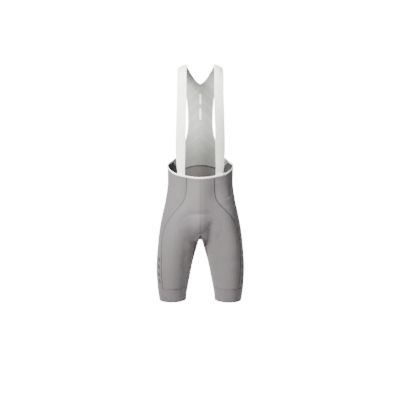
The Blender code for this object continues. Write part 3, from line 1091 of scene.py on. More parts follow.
@dataclass(frozen=True)
class Binding:
    """Pale folded tape with a fine diagonal twill with painted shade in its troughs, or the same in
    another colour.
    """

    name: str = "pale tape"
    colour: Colour = (0.93, 0.92, 0.915, 1.0)
    twill: float = 0.8 * MM

    def make(self) -> bpy.types.Material:
        """The tape as a material."""
        nodes = Nodes(self.name)
        across, along = nodes.across_and_along()
        twill = nodes.wave(nodes.math("ADD", across, along), self.twill)
        tone = nodes.varied(nodes.noise(160.0), self.colour, 0.95, 1.02)
        # Painted shade: the twill's troughs are coloured darker.
        cloth = nodes.mix(nodes.smooth_step(twill, -1.0, 0.2), shade(self.colour, 0.86), tone)
        nodes.matt(cloth, 0.55, 0.2)
        nodes.bump(twill, 0.08 * MM, 0.5)
        return nodes.material


@dataclass(frozen=True)
class Thread:
    """Spun sewing thread, with a little gloss."""

    name: str
    colour: Colour

    def make(self) -> bpy.types.Material:
        """The thread as a material."""
        nodes = Nodes(self.name)
        nodes.matt(nodes.varied(nodes.noise(1500.0, 1.0), self.colour, 0.82, 1.1), 0.5, 0.1, 0.35)
        return nodes.material


class Wardrobe:
    """Every finish, made once."""

    def __init__(self) -> None:
        """Makes the materials."""
        # Painted shade: the side panels' reverse and the net's inside seam are coloured near black,
        # for the deep shade inside the garment.
        painted_inner_shade = (0.034, 0.031, 0.031, 1.0)
        self.knit = StretchKnit().make()
        self.side_knit = StretchKnit(name="stretch knit with bars", bars=True).make()
        self.band_knit = StretchKnit(
            name="band knit", colour=(0.107, 0.097, 0.099, 1.0), wale=1.1 * MM, heather=0.05
        ).make()
        # Painted shade: the knit's reverse is coloured darker than its face, for the shade inside
        # the garment.
        self.reverse = StretchKnit(
            name="knit reverse", colour=(0.078, 0.070, 0.069, 1.0), wale=0.6 * MM, sheen=0.1
        ).make()
        self.side_reverse_painted_shade = StretchKnit(
            name="side knit reverse painted shade", colour=painted_inner_shade, wale=0.6 * MM, sheen=0.05
        ).make()
        self.inner_seam = StretchKnit(
            name="inner seam", colour=painted_inner_shade, wale=0.5 * MM, heather=0.04
        ).make()
        self.seam_bed = StretchKnit(
            name="seam bed", colour=(0.076, 0.069, 0.070, 1.0), wale=0.5 * MM, heather=0.04
        ).make()
        self.net = OpenNet().make()
        self.elastic = WovenElastic().make()
        self.tape = Binding().make()
        self.net_edge = Binding(name="net edge", colour=(0.50, 0.50, 0.475, 1.0)).make()
        self.body_thread = Thread("grey thread", (0.068, 0.062, 0.063, 1.0)).make()
        self.knit_thread = Thread("knit thread", (0.108, 0.098, 0.100, 1.0)).make()
        self.pale_thread = Thread("pale thread", (0.74, 0.73, 0.71, 1.0)).make()


@dataclass
class Cloth:
    """One sheet of cloth, from points on its face: rows run down, columns to the right."""

    name: str
    points: Grid
    normals: Grid
    thickness: float
    closed: bool = False
    mirror_below: float | None = None

    def uv(self) -> Grid:
        """Metres across from the middle column, and metres along from the first row."""
        across, along = run_along(self.points, 1), run_along(self.points, 0)
        across -= across[:, across.shape[1] // 2][:, None]
        return np.stack([across, along], axis=-1)

    def faces(self) -> tuple[list[list[int]], int]:
        """The wall's faces, and how many of them are on its face side."""
        rows, columns = self.points.shape[:2]
        place = np.arange(rows * columns).reshape(rows, columns)
        if self.closed:
            place = np.concatenate([place, place[:, :1]], axis=1)
        quads = np.stack(
            [place[:-1, :-1], place[1:, :-1], place[1:, 1:], place[:-1, 1:]], axis=-1
        ).reshape(-1, 4)
        back = quads[:, ::-1] + rows * columns
        lines = [place[0][::-1], place[-1]]
        if not self.closed:
            lines += [place[:, 0], place[::-1, -1]]
        count = rows * columns
        rims = [
            np.stack([line[1:], line[:-1], line[:-1] + count, line[1:] + count], axis=-1)
            for line in lines
        ]
        return np.concatenate([quads, back, *rims]).tolist(), len(quads)

    def build(self, face: bpy.types.Material, reverse: bpy.types.Material) -> bpy.types.Object:
        """Makes the sheet as an object with a wall's thickness.

        Args:
            face: The outer side's material.
            reverse: The inner side's material.

        Returns:
            The object.
        """
        skins = np.concatenate([self.points, self.points - self.normals * self.thickness])
        faces, outer = self.faces()
        uv = np.tile(self.uv().reshape(-1, 2), (2, 1))
        mesh = mesh_with_uv(self.name, skins, faces, uv)
        mesh.materials.append(face)
        mesh.materials.append(reverse)
        index = np.zeros(len(mesh.polygons), np.int32)
        index[outer : 2 * outer] = 1
        mesh.polygons.foreach_set("material_index", index)
        mesh.shade_smooth()
        mesh.set_sharp_from_angle(angle=math.radians(50))
        piece = add_object(self.name, mesh)
        if self.mirror_below is not None:
            self.join_halves(piece)
        return piece

    def join_halves(self, piece: bpy.types.Object) -> None:
        """Opens the wall on the middle plane and mirrors it into one sheet.

        Args:
            piece: The half, which is the active object.
        """
        shape = bmesh.new()
        shape.from_mesh(piece.data)
        middle = [
            wall
            for wall in shape.faces
            if all(abs(v.co.x) < 1e-7 and v.co.z < self.mirror_below + 1e-5 for v in wall.verts)
        ]
        bmesh.ops.delete(shape, geom=middle, context="FACES_ONLY")
        shape.to_mesh(piece.data)
        shape.free()
        mirror = piece.modifiers.new("other half", "MIRROR")
        mirror.merge_threshold = 1e-6
        bpy.ops.object.modifier_apply(modifier=mirror.name)

    def area(self) -> float:
        """Area of the face, in square metres."""
        points = self.points
        if self.closed:
            points = np.concatenate([points, points[:, :1]], axis=1)
        crossed = np.cross(points[1:, 1:] - points[:-1, :-1], points[1:, :-1] - points[:-1, 1:])
        halves = 1 if self.mirror_below is None else 2
        return float(np.linalg.norm(crossed, axis=-1).sum() / 2) * halves


@dataclass(frozen=True)
class Cut:
    """The flat piece a sheet was cut to, before the body stretched it."""

    width: float
    length: float
    area: float

    def declare(self, piece: bpy.types.Object, *rests_on: str) -> None:
        """States the sheet's cut size.

        Args:
            piece: The sheet.
            *rests_on: The solids whose pieces it is sewn to; not used.
        """
        sizes = (self.width, self.length, self.area)
        LOG.info("cut of %s: %.3f x %.4f m, %.4f m2", piece.name, *sizes)


@dataclass
class SeamLine:
    """A sewn line: a low bed of flat stitches with a zigzag thread over it."""

    name: str
    points: Grid
    normals: Grid
    width: float = 4.4 * MM
    height: float = 0.55 * MM
    pitch: float = 1.7 * MM
    thread: float = 0.26 * MM
    bed: bool = True
    closed: bool = False
    swing: float = 0.40
    bed_step: float = 3 * MM
    bed_columns: int = 7
    bed_sink: float = 0.25 * MM
    bed_wall: float = 0.5 * MM

    def spaced(self, step: float) -> tuple[Grid, Grid, Grid]:
        """Spaces the line's points evenly.

        Args:
            step: About how far apart.

        Returns:
            The points, their normals and their sideways directions.
        """
        points, normals = self.points, self.normals
        if self.closed:
            points = np.concatenate([points, points[:1]])
            normals = np.concatenate([normals, normals[:1]])
        run = run_along(points)
        count = max(4, 2 * int(run[-1] / step / 2))
        at = np.linspace(0, run[-1], count + 1)
        spaced = np.stack([np.interp(at, run, points[:, k]) for k in range(3)], axis=-1)
        facing = unit(np.stack([np.interp(at, run, normals[:, k]) for k in range(3)], axis=-1))
        sideways = unit(np.cross(np.gradient(spaced, axis=0), facing))
        return spaced, facing, sideways

    def bed_cloth(self) -> Cloth:
        """The low rounded strip under the thread."""
        spaced, facing, sideways = self.spaced(self.bed_step)
        across = np.linspace(-1, 1, self.bed_columns)
        rise = np.sqrt(np.maximum(1 - across**4, 0)) * self.height
        points = (
            spaced[:, None]
            + sideways[:, None] * (across * self.width / 2)[:, None]
            + facing[:, None] * (rise - self.bed_sink)[:, None]
        )
        normals = np.repeat(facing[:, None], self.bed_columns, axis=1)
        return Cloth(f"{self.name}_bed", points, normals, self.bed_wall)

    def zigzag(self) -> Grid:
        """The thread's path."""
        spaced, facing, sideways = self.spaced(self.pitch / 2)
        swing = np.where(np.arange(len(spaced)) % 2 == 0, 1.0, -1.0) * self.width * self.swing
        lift = self.height if self.bed else self.thread * 0.6
        return spaced + sideways * swing[:, None] + facing * lift

    def build(self, bed: bpy.types.Material, thread: bpy.types.Material) -> list[bpy.types.Object]:
        """Makes the bed and the thread.

        Args:
            bed: The bed's material.
            thread: The thread's material.

        Returns:
            The pieces.
        """
        pieces = [thread_tube(f"{self.name}_thread", [self.zigzag()], self.thread, thread)]
        if self.bed:
            pieces.append(self.bed_cloth().build(bed, bed))
        return pieces


def thread_tube(
    name: str, paths: Iterable[Grid], radius: float, material: bpy.types.Material
) -> bpy.types.Object:
    """Makes round thread along some paths.

    Args:
        name: The piece's name.
        paths: The points that each run follows.
        radius: The thread's radius, in metres.
        material: Its finish.

    Returns:
        The thread as one mesh.
    """
    curve = bpy.data.curves.new(name, "CURVE")
    curve.dimensions = "3D"
    curve.bevel_depth = radius
    curve.bevel_resolution = 0
    curve.use_fill_caps = True
    for path in paths:
        line = curve.splines.new("POLY")
        line.points.add(len(path) - 1)
        places = np.concatenate([path, np.ones((len(path), 1))], axis=1)
        line.points.foreach_set("co", places.ravel())
    add_object(name, curve)
    bpy.ops.object.convert(target="MESH")
    piece = bpy.context.view_layer.objects.active
    piece.data.materials.clear()
    piece.data.materials.append(material)
    piece.data.shade_smooth()
    return piece


@dataclass
class Tailor:
    """What every sub-assembly shares: the worn surface, the finishes and the count of pieces."""

    wardrobe: Wardrobe
    figure: Figure = field(default_factory=Figure)
    lines: CutLines = field(default_factory=CutLines)
    relief: Relief = field(default_factory=Relief)
    made: int = 0

    def lay(self, points: Grid, side: Side, out: float = 0.0) -> tuple[Grid, Grid]:
        """Lays points of the figure's left half on the worn cloth of one side.

        Args:
            points: The points.
            side: The side to lay them on.
            out: How far to move them outwards.

        Returns:
            The points and their normals.
        """
        normals = self.figure.outward(points)
        if side is Side.RIGHT:
            points, normals = mirrored(points), mirrored(normals)
        moved = self.relief.at(points) + out
        return points + normals * moved[..., None], normals

    def lay_both(self, points: Grid, axis: int, out: Numbers = 0.0) -> tuple[Grid, Grid]:
        """Lays points on both sides, joined along the middle line that they share.

        Args:
            points: Points of the figure's left half, the first of them on the middle line.
            axis: The axis of the grid that leads away from that line.
            out: How far to move them outwards.

        Returns:
            The points and their normals, from the far right to the far left.
        """
        left, right = (self.lay(points, side, out) for side in Side)
        points, normals = (
            np.concatenate([np.delete(np.flip(far, axis), -1, axis), near], axis)
            for near, far in zip(left, right)
        )
        return points, normals

    @staticmethod
    def facing_out(side: Side, *grids: Grid) -> tuple[Grid, ...]:
        """The grids, with their columns turned round on the right side, where faces turn too."""
        return grids if side is Side.LEFT else tuple(grid[:, ::-1] for grid in grids)

    def fit(self, piece: bpy.types.Object, slot: Slot, *nodes: str) -> bpy.types.Object:
        """Rides a piece on the garment, hides the solids that it stands for and counts it.

        Args:
            piece: The piece.
            slot: Its material slot; not used.
            *nodes: The solids that it stands for.

        Returns:
            The piece.
        """
        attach(piece, "root")
        if nodes:
            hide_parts(*nodes)
        self.made += 1
        LOG.info("made %s: %d faces", piece.name, len(piece.data.polygons))
        return piece

    def sew(
        self, line: SeamLine, slot: Slot, bed: bpy.types.Material, thread: bpy.types.Material
    ) -> list[bpy.types.Object]:
        """Builds a seam and rides it on the garment."""
        return [self.fit(piece, slot) for piece in line.build(bed, thread)]

    def surface_line(
        self,
        name: str,
        degrees: Callable[[np.ndarray], np.ndarray],
        heights: Grid,
        side: Side,
        **options: object,
    ) -> SeamLine:
        """A seam that runs down the worn cloth at an angle for each height."""
        points, normals = self.lay(self.figure.skin(degrees(heights), heights), side)
        return SeamLine(name, points, normals, **options)


@dataclass
class BodyPanels:
    """Fronts, sides, seats and gusset, and the seams between them."""

    tailor: Tailor
    rows: int = 150
    front_columns: int = 60
    side_columns: int = 64
    seat_columns: int = 72
    gusset_columns: int = 48
    cloth: float = 1.2 * MM
    wide_stretch: float = 1.15
    long_stretch: float = 1.06
    stretch: float = 1.22
    first_top: float = -0.420
    top_rounds: int = 5
    gusset_floor: float = -0.700
    gusset_rounds: int = 24
    gusset_spread: float = 1.3
    seam_points: int = 140
    seam_spread: float = 1.2
    middle_points: int = 90

    def panel_grid(self, left: Callable, right: Callable, columns: int) -> Grid:
        """Fills a panel between two seams on the figure's left half.

        Args:
            left: The first seam's angle for a height.
            right: The other seam's.
            columns: How many columns to make.

        Returns:
            The points, from its top edge down to the band.
        """
        lines = self.tailor.lines
        across = np.linspace(0, 1, columns + 1)
        top: Numbers = self.first_top
        for _ in range(self.top_rounds):
            degrees = left(top) + (right(top) - left(top)) * across
            top = lines.top(degrees)
        shares = np.linspace(0, 1, self.rows + 1)[:, None]
        height = top + (lines.band_top - top) * shares
        first, last = left(height), right(height)
        return self.tailor.figure.skin(first + (last - first) * across, height)

    def gusset_grid(self) -> Grid:
        """Points of the gusset's left half, from the middle plane down to the band."""
        figure, lines = self.tailor.figure, self.tailor.lines
        across = (1 - np.cos(np.linspace(0, math.pi, self.gusset_columns + 1))) / 2

        def place(height: Grid) -> Grid:
            """Points at those heights, one for each column."""
            first, last = lines.seat_inner(height), 360 + lines.front_inner(height)
            return figure.skin(first + (last - first) * across, height)

        low = np.full(len(across), self.gusset_floor)
        high = np.full(len(across), max(lines.front_apex, lines.back_apex))
        for _ in range(self.gusset_rounds):
            middle = (low + high) / 2
            below = place(middle)[..., 0] > 1e-7
            low, high = np.where(below, middle, low), np.where(below, high, middle)
        low[0], low[-1] = lines.back_apex, lines.front_apex
        steps = np.linspace(0, 1, self.rows // 2 + 1)[:, None] ** self.gusset_spread
        points = place(low + (lines.band_top - low) * steps)
        points[0, :, 0] = 0
        return points

    def finish(
        self,
        name: str,
        points: Grid,
        normals: Grid,
        face: bpy.types.Material,
        reverse: bpy.types.Material,
        middle: bool = False,
    ) -> None:
        """Builds a sheet of the knit and states its cut.

        Args:
            name: The solid that it stands for.
            points: Its face.
            normals: The face's normals.
            face: Its finish.
            reverse: The finish of its inner side.
            middle: Whether its length is taken down the middle, where both edges bow.
        """
        cloth = Cloth(f"{name}_cloth", points, normals, self.cloth)
        piece = self.tailor.fit(cloth.build(face, reverse), Slot.LYCRA, name)
        widest = run_along(points, 1)[:, -1].max()
        lengths = run_along(points)[-1]
        longest = lengths[len(lengths) // 2] if middle else lengths.max()
        area = cloth.area() / self.stretch
        cut = Cut(widest / self.wide_stretch, longest / self.long_stretch, area)
        cut.declare(piece, "hem_band_left", "hem_band_right")

    def build(self) -> None:
        """Builds every panel and sews them together."""
        tailor, lines, wardrobe = self.tailor, self.tailor.lines, self.tailor.wardrobe
        fronts = self.panel_grid(lines.front_inner, lines.front_seam, self.front_columns)
        sides = self.panel_grid(lines.front_seam, lines.seat_seam, self.side_columns)
        seats = self.panel_grid(lines.seat_seam, lines.seat_inner, self.seat_columns)
        for side in Side:
            for name, grid, face, reverse in (
                ("front", fronts, wardrobe.knit, wardrobe.reverse),
                ("side", sides, wardrobe.side_knit, wardrobe.side_reverse_painted_shade),
                ("seat", seats, wardrobe.knit, wardrobe.reverse),
            ):
                points, normals = tailor.facing_out(side, *tailor.lay(grid, side))
                self.finish(f"{name}_{side.name.lower()}", points, normals, face, reverse)
        points, normals = tailor.lay_both(self.gusset_grid(), 0)
        self.finish("crotch_gusset", points, normals, wardrobe.knit, wardrobe.reverse, middle=True)
        for side in Side:
            self.sew_flat_seams(side)
            self.sew_pad_outline(side)
        self.sew_middle()

    def sew_flat_seams(self, side: Side) -> None:
        """Sews the flat seams of one side's panels.

        Args:
            side: The side.
        """
        tailor, lines, wardrobe = self.tailor, self.tailor.lines, self.tailor.wardrobe
        for name, degrees, top in (
            ("front_seam", lines.front_seam, lines.front_seam_top()),
            ("seat_seam", lines.seat_seam, float(lines.top(lines.corner_low))),
            ("gusset_front_seam", lines.front_inner, lines.front_apex),
            ("gusset_back_seam", lines.seat_inner, lines.back_apex),
        ):
            shares = np.linspace(0, 1, self.seam_points) ** self.seam_spread
            heights = top + (lines.band_top - top) * shares
            line = tailor.surface_line(f"{name}_{side.name.lower()}", degrees, heights, side)
            tailor.sew(line, Slot.LYCRA, wardrobe.seam_bed, wardrobe.body_thread)

    def sew_pad_outline(self, side: Side) -> None:
        """Stitches one side of the outline of the pad inside.

        Args:
            side: The side.
        """
        tailor, relief, wardrobe = self.tailor, self.tailor.relief, self.tailor.wardrobe
        sizes = {"width": 2.4 * MM, "pitch": 2.2 * MM, "thread": 0.18 * MM, "bed": False}
        for name, table, way in (
            ("pad_front", relief.pad_front, -1),
            ("pad_back", relief.pad_back, 1),
        ):
            points, normals = tailor.lay(relief.pad_line(table, way), side)
            line = SeamLine(f"{name}_stitch_{side.name.lower()}", points, normals, **sizes)
            tailor.sew(line, Slot.LYCRA, wardrobe.knit, wardrobe.knit_thread)

    def sew_middle(self) -> None:
        """Sews the middle seams in front and behind."""
        tailor, lines, wardrobe = self.tailor, self.tailor.lines, self.tailor.wardrobe
        sizes = {"width": 3.4 * MM, "height": 0.12 * MM, "thread": 0.14 * MM}
        for name, degrees, top, low in (
            ("middle_front_seam", lines.front_inner, float(lines.top(0.0)), lines.front_apex),
            ("middle_back_seam", lines.seat_inner, float(lines.top(180.0)), lines.back_apex),
        ):
            heights = np.linspace(top, low + 0.2 * MM, self.middle_points)
            line = tailor.surface_line(name, degrees, heights, Side.LEFT, **sizes)
            tailor.sew(line, Slot.LYCRA, wardrobe.knit, wardrobe.knit_thread)


@dataclass
class HemBands:
    """The wide elastic leg bands, with a sewn top and a fine line above the raw edge."""

    tailor: Tailor
    rows: int = 30
    columns: int = 160
    cloth: float = 1.2 * MM
    proud: float = 0.1 * MM
    stretch: float = 1.15
    filled: float = 0.99
    edge_line: float = 7.5 * MM
    seam_points: int = 180

    def build(self) -> None:
        """Builds both bands."""
        tailor, lines, wardrobe = self.tailor, self.tailor.lines, self.tailor.wardrobe
        degrees = np.arange(self.columns) * 360 / self.columns
        heights = np.linspace(lines.band_top, lines.hem, self.rows + 1)
        grid = tailor.figure.skin(degrees, heights[:, None])
        for side in Side:
            end = side.name.lower()
            points, normals = tailor.facing_out(side, *tailor.lay(grid, side, self.proud))
            cloth = Cloth(f"hem_band_{end}_cloth", points, normals, self.cloth, closed=True)
            sheet = cloth.build(wardrobe.band_knit, wardrobe.reverse)
            piece = tailor.fit(sheet, Slot.LYCRA, f"hem_band_{end}")
            ring = points[0]
            around = float(np.linalg.norm(ring - np.roll(ring, 1, axis=0), axis=1).sum())
            height = lines.band_top - lines.hem
            cut = Cut(around / self.stretch, height, around * height * self.filled / self.stretch)
            cut.declare(piece, f"front_{end}", f"side_{end}", f"seat_{end}")
            self.sew(side)

    def sew(self, side: Side) -> None:
        """Sews one band's top and its edge line.

        Args:
            side: The side.
        """
        tailor, lines, wardrobe = self.tailor, self.tailor.lines, self.tailor.wardrobe
        degrees = np.linspace(0, 360, self.seam_points, endpoint=False)
        for name, height, width, rise in (
            ("band_seam", lines.band_top, 3.6 * MM, 0.45 * MM),
            ("hem_line", lines.hem + self.edge_line, 1.6 * MM, 0.3 * MM),
        ):
            ring = tailor.figure.skin(degrees, np.full(self.seam_points, height))
            spots, facing = tailor.lay(ring, side)
            line = SeamLine(f"{name}_{side.name.lower()}", spots, facing, width, rise, closed=True)
            tailor.sew(line, Slot.LYCRA, wardrobe.band_knit, wardrobe.knit_thread)


@dataclass
class WaistTape:
    """The pale tape along the front of the waist, and its rows of stitches.

    Its profile gives, from its upper to its lower edge, the share of the way down and how far it
    swells out, in millimetres.
    """

    tailor: Tailor
    columns: int = 120
    proud: float = 0.2 * MM
    thickness: float = 1.7 * MM
    width: float = 0.0105
    stretch: float = 1.1
    profile: tuple[tuple[float, float], ...] = (
        (0, -0.35),
        (0.06, 0.0),
        (0.25, 0.18),
        (0.5, 0.22),
        (0.75, 0.18),
        (0.94, 0.0),
        (1.0, -0.35),
    )

    def build(self) -> None:
        """Builds the tape and sews it on."""
        tailor, lines, wardrobe = self.tailor, self.tailor.lines, self.tailor.wardrobe
        first = float(tailor.figure.angle_at_x(0.0, lines.rim_height(0.0), -1))
        degrees = first + (lines.corner_top - first) * np.linspace(0, 1, self.columns + 1)
        top, low = lines.rim_height(degrees), lines.top(degrees)
        shares, swell = (column[:, None] for column in np.array(self.profile, float).T)
        grid = tailor.figure.skin(degrees, top + (low - top) * shares)
        points, normals = tailor.lay_both(grid, 1, swell * MM + self.proud)
        cloth = Cloth("waist_tape_cloth", points, normals, self.thickness)
        piece = tailor.fit(cloth.build(wardrobe.tape, wardrobe.tape), Slot.TAPE, "waist_tape")
        length = float(run_along(points[len(self.profile) // 2])[-1]) / self.stretch
        Cut(length, self.width, length * self.width).declare(piece, "front_left", "front_right")
        sizes = {"width": 1.8 * MM, "pitch": 2.2 * MM, "thread": 0.17 * MM, "bed": False}
        for side in Side:
            for name, below, thread in (
                ("tape_stitch", 0.8 * MM, wardrobe.pale_thread),
                ("cover_stitch", 9.5 * MM, wardrobe.body_thread),
            ):
                spots, facing = tailor.lay(tailor.figure.skin(degrees, low - below), side)
                line = SeamLine(f"{name}_{side.name.lower()}", spots, facing, **sizes)
                tailor.sew(line, Slot.TAPE, wardrobe.tape, thread)


@dataclass
class NetBack:
    """The open back from the waist to the shoulders, with bound edges.

    Each row of edges gives x and height of the inner and the outer edge, in millimetres. The inner
    edge is the middle of the back up to the neck row, and the neck's rim above it.
    """

    tailor: Tailor
    rows: int = 190
    columns: int = 56
    cloth: float = 1.0 * MM
    cut_size: tuple[float, float] = (0.235, 0.405)
    stretch: float = 1.12
    middle_low: tuple[float, ...] = (-374, -360, -350)
    edges: tuple[tuple[float, float, float, float], ...] = (
        (0, -344, 103.0, -360.5),
        (0, -328, 90.0, -350.5),
        (0, -308, 75.0, -330.0),
        (0, -284, 64.0, -302.0),
        (0, -262, 55.8, -277.0),
        (0, -240, 50.6, -252.0),
        (0, -214, 48.3, -222.0),
        (0, -186, 48.8, -190.0),
        (0, -158, 50.2, -158.0),
        (0, -130, 53.2, -129.0),
        (0, -103, 58.5, -103.0),
        (0, -84, 64.0, -86.0),
        (0, -69.5, 69.5, -71.5),
        (10.5, -62, 74.0, -59.0),
        (22.5, -49.5, 78.0, -48.5),
        (32.5, -34.5, 81.3, -39.0),
        (40.5, -22, 83.6, -31.0),
        (46.5, -12.5, 84.9, -24.5),
    )
    neck_row: int = 16
    corner_row: int = 4
    below_neck: float = 0.74
    seam_rows: float = 5
    fold_spacing: float = 0.011
    fold_start: float = 1.2
    fold_height: float = 0.5 * MM
    fold_zone: tuple[float, float] = (0.22, 0.34)
    fold_middle: tuple[float, float] = (0.006, 0.03)
    edge_width: float = 3.2 * MM
    edge_inset: float = 0.42

    def border(self, top: float) -> Grid:
        """Finds both edges, row by row from the waist seam up.

        Args:
            top: Height, before the shoulder's slope, where the arms of the net end.

        Returns:
            x and height of the inner and the outer edge in each row.
        """
        figure, lines = self.tailor.figure, self.tailor.lines
        third = (lines.corner_top - lines.corner_low) / 3
        corner = (lines.corner_low, lines.corner_low + third, lines.corner_top)
        spots = [figure.skin(angle, lines.top(angle)) for angle in corner]
        spots.append(figure.skin(lines.corner_top, lines.rim_height(lines.corner_top)))
        middles = (lines.back[-1][1], *self.middle_low)
        rows = [(0.0, middle * MM, spot[0], spot[2]) for middle, spot in zip(middles, spots)]
        rows += [tuple(value * MM for value in row) for row in self.edges]
        inner, outer = Straps.edges(top)
        drop = figure.shoulder_drop
        rows.append((inner, top + drop(inner, top), outer, top + drop(outer, top)))
        return np.array(rows)

    def grid(self, top: float) -> tuple[Grid, int]:
        """Fills the back's left half.

        Args:
            top: Height, before the shoulder's slope, where its arm ends.

        Returns:
            The points, rows going up, and the row where the neck opens.
        """
        figure, lines = self.tailor.figure, self.tailor.lines
        border = self.border(top)
        knots = np.arange(len(border))
        below = np.linspace(0, self.neck_row, int(self.rows * self.below_neck) + 1)
        count = int(self.rows * (1 - self.below_neck)) + 1
        above = np.linspace(self.neck_row, len(border) - 1, count)[1:]
        steps = np.concatenate([below, above])
        inner_x, inner_z, outer_x, outer_z = (
            smooth_curve(knots, column, steps) for column in border.T
        )
        inner_x[steps <= self.neck_row] = 0
        degrees = np.linspace(180, lines.corner_low, self.columns + 1)
        seam = figure.skin(degrees, lines.top(degrees))
        seam_share = (seam[:, 0] - seam[0, 0]) / (seam[-1, 0] - seam[0, 0])
        seam_dip = (seam[:, 2] - seam[0, 2]) / (seam[-1, 2] - seam[0, 2])
        even = np.linspace(0, 1, self.columns + 1)
        keep = 1 - ramp(steps - 1, 0, self.seam_rows)[:, None]
        share = keep * seam_share + (1 - keep) * even
        dip = keep * seam_dip + (1 - keep) * share**2
        dip = np.where(steps[:, None] > self.neck_row, share, dip)
        x = inner_x[:, None] + (outer_x - inner_x)[:, None] * share
        z = inner_z[:, None] + (outer_z - inner_z)[:, None] * dip
        y = figure.torso_y(x, z - figure.shoulder_drop(x, z), 1)
        return np.stack([x, y, z], axis=-1), len(below) - 1

    def build(self, top: float) -> None:
        """Builds the back and its edges.

        Args:
            top: Height, before the shoulder's slope, where its arms meet the straps.
        """
        tailor, wardrobe = self.tailor, self.tailor.wardrobe
        points, neck = self.grid(top)
        normals = unit(np.cross(np.gradient(points, axis=0), np.gradient(points, axis=1)))
        normals[: neck + 1, 0, 0] = 0
        normals = unit(normals)
        folds = np.sin(points[..., 0] / self.fold_spacing + self.fold_start) * self.fold_height
        folds *= ramp(-points[..., 2], *self.fold_zone)
        folds *= ramp(np.abs(points[..., 0]), *self.fold_middle)
        points = points + normals * folds[..., None]
        points[: neck + 1, 0, 0] = 0
        opens = float(points[neck, 0, 2])
        cloth = Cloth("mesh_back_cloth", points, normals, self.cloth, mirror_below=opens)
        piece = tailor.fit(cloth.build(wardrobe.net, wardrobe.net), Slot.MESH, "mesh_back")
        cut = Cut(*self.cut_size, cloth.area() / self.stretch)
        cut.declare(piece, "seat_left", "seat_right", "strap_left", "strap_right")
        corner = round(self.corner_row * neck / self.neck_row)
        for side in Side:
            self.bind(side, "neck_edge", points[neck:], normals[neck:], 0, 4)
            self.bind(side, "arm_edge", points[corner:], normals[corner:], -1, -5)
            self.sew_waist(side)

    def bind(
        self, side: Side, name: str, points: Grid, normals: Grid, rim: int, inner: int
    ) -> None:
        """Binds one edge of the net.

        Args:
            side: The side it is on.
            name: The edge's name.
            points: The net's rows beside it, on the left half.
            normals: Their normals.
            rim: The column that is the edge.
            inner: A column further in, towards which the binding reaches.
        """
        turn = np.array([side.value, 1, 1])
        line, facing = points[:, rim], normals[:, rim]
        inset = unit(points[:, inner] - line) * self.edge_inset * self.edge_width
        spots = (line + inset - facing * self.cloth / 2) * turn
        edge = EdgeBinding(f"{name}_{side.name.lower()}", spots, facing * turn, self.edge_width)
        self.tailor.fit(edge.build(self.tailor.wardrobe.net_edge), Slot.MESH)

    def sew_waist(self, side: Side) -> None:
        """Sews one side of the waist seam, outside and inside.

        Args:
            side: The side.
        """
        tailor, lines, wardrobe = self.tailor, self.tailor.lines, self.tailor.wardrobe
        behind = np.linspace(180, lines.corner_low, 70)
        corner = np.linspace(lines.corner_low, lines.corner_top, 40)[1:]
        degrees = np.concatenate([behind, corner])
        seat, end = tailor.figure.skin(degrees, lines.top(degrees)), side.name.lower()
        spots, facing = tailor.lay(seat, side)
        seam = SeamLine(f"net_seam_{end}", spots, facing, 4.0 * MM, 0.5 * MM)
        tailor.sew(seam, Slot.MESH, wardrobe.seam_bed, wardrobe.body_thread)
        spots, facing = tailor.lay(seat, side, -BodyPanels.cloth)
        # The inside seam's near-black colour is painted shade.
        seam = SeamLine(f"net_seam_inside_{end}", spots, -facing, 5.4 * MM, 0.9 * MM)
        tailor.sew(seam, Slot.MESH, wardrobe.inner_seam, wardrobe.inner_seam)


@dataclass
class EdgeBinding:
    """A narrow folded edge round the rim of the net, as a flattened roll."""

    name: str
    points: Grid
    normals: Grid
    width: float
    depth: float = 1.7 * MM
    around: int = 10
    squareness: float = 0.7

    def build(self, material: bpy.types.Material) -> bpy.types.Object:
        """Makes the edge as one closed roll.

        Args:
            material: Its finish.

        Returns:
            The object.
        """
        sideways = unit(np.cross(np.gradient(self.points, axis=0), self.normals))
        angle = np.arange(self.around) * math.tau / self.around
        wide, deep = (
            np.sign(turn) * np.abs(turn) ** self.squareness * size / 2
            for turn, size in ((np.cos(angle), self.width), (np.sin(angle), self.depth))
        )
        ring = (
            self.points[:, None]
            + sideways[:, None] * wide[:, None]
            + self.normals[:, None] * deep[:, None]
        )
        rows = len(ring)
        place = np.arange(rows * self.around).reshape(rows, self.around)
        after = np.roll(place, -1, axis=1)
        quads = np.stack([place[:-1], after[:-1], after[1:], place[1:]], axis=-1).reshape(-1, 4)
        faces = [*quads.tolist(), place[0][::-1].tolist(), place[-1].tolist()]
        along = run_along(self.points)[:, None]
        uv = np.stack(np.broadcast_arrays(wide[None], along), axis=-1).reshape(-1, 2)
        mesh = mesh_with_uv(self.name, ring, faces, uv)
        shape = bmesh.new()
        shape.from_mesh(mesh)
        bmesh.ops.recalc_face_normals(shape, faces=shape.faces)
        shape.to_mesh(mesh)
        shape.free()
        mesh.shade_smooth()
        mesh.set_sharp_from_angle(angle=math.radians(60))
        mesh.materials.append(material)
        return add_object(self.name, mesh)


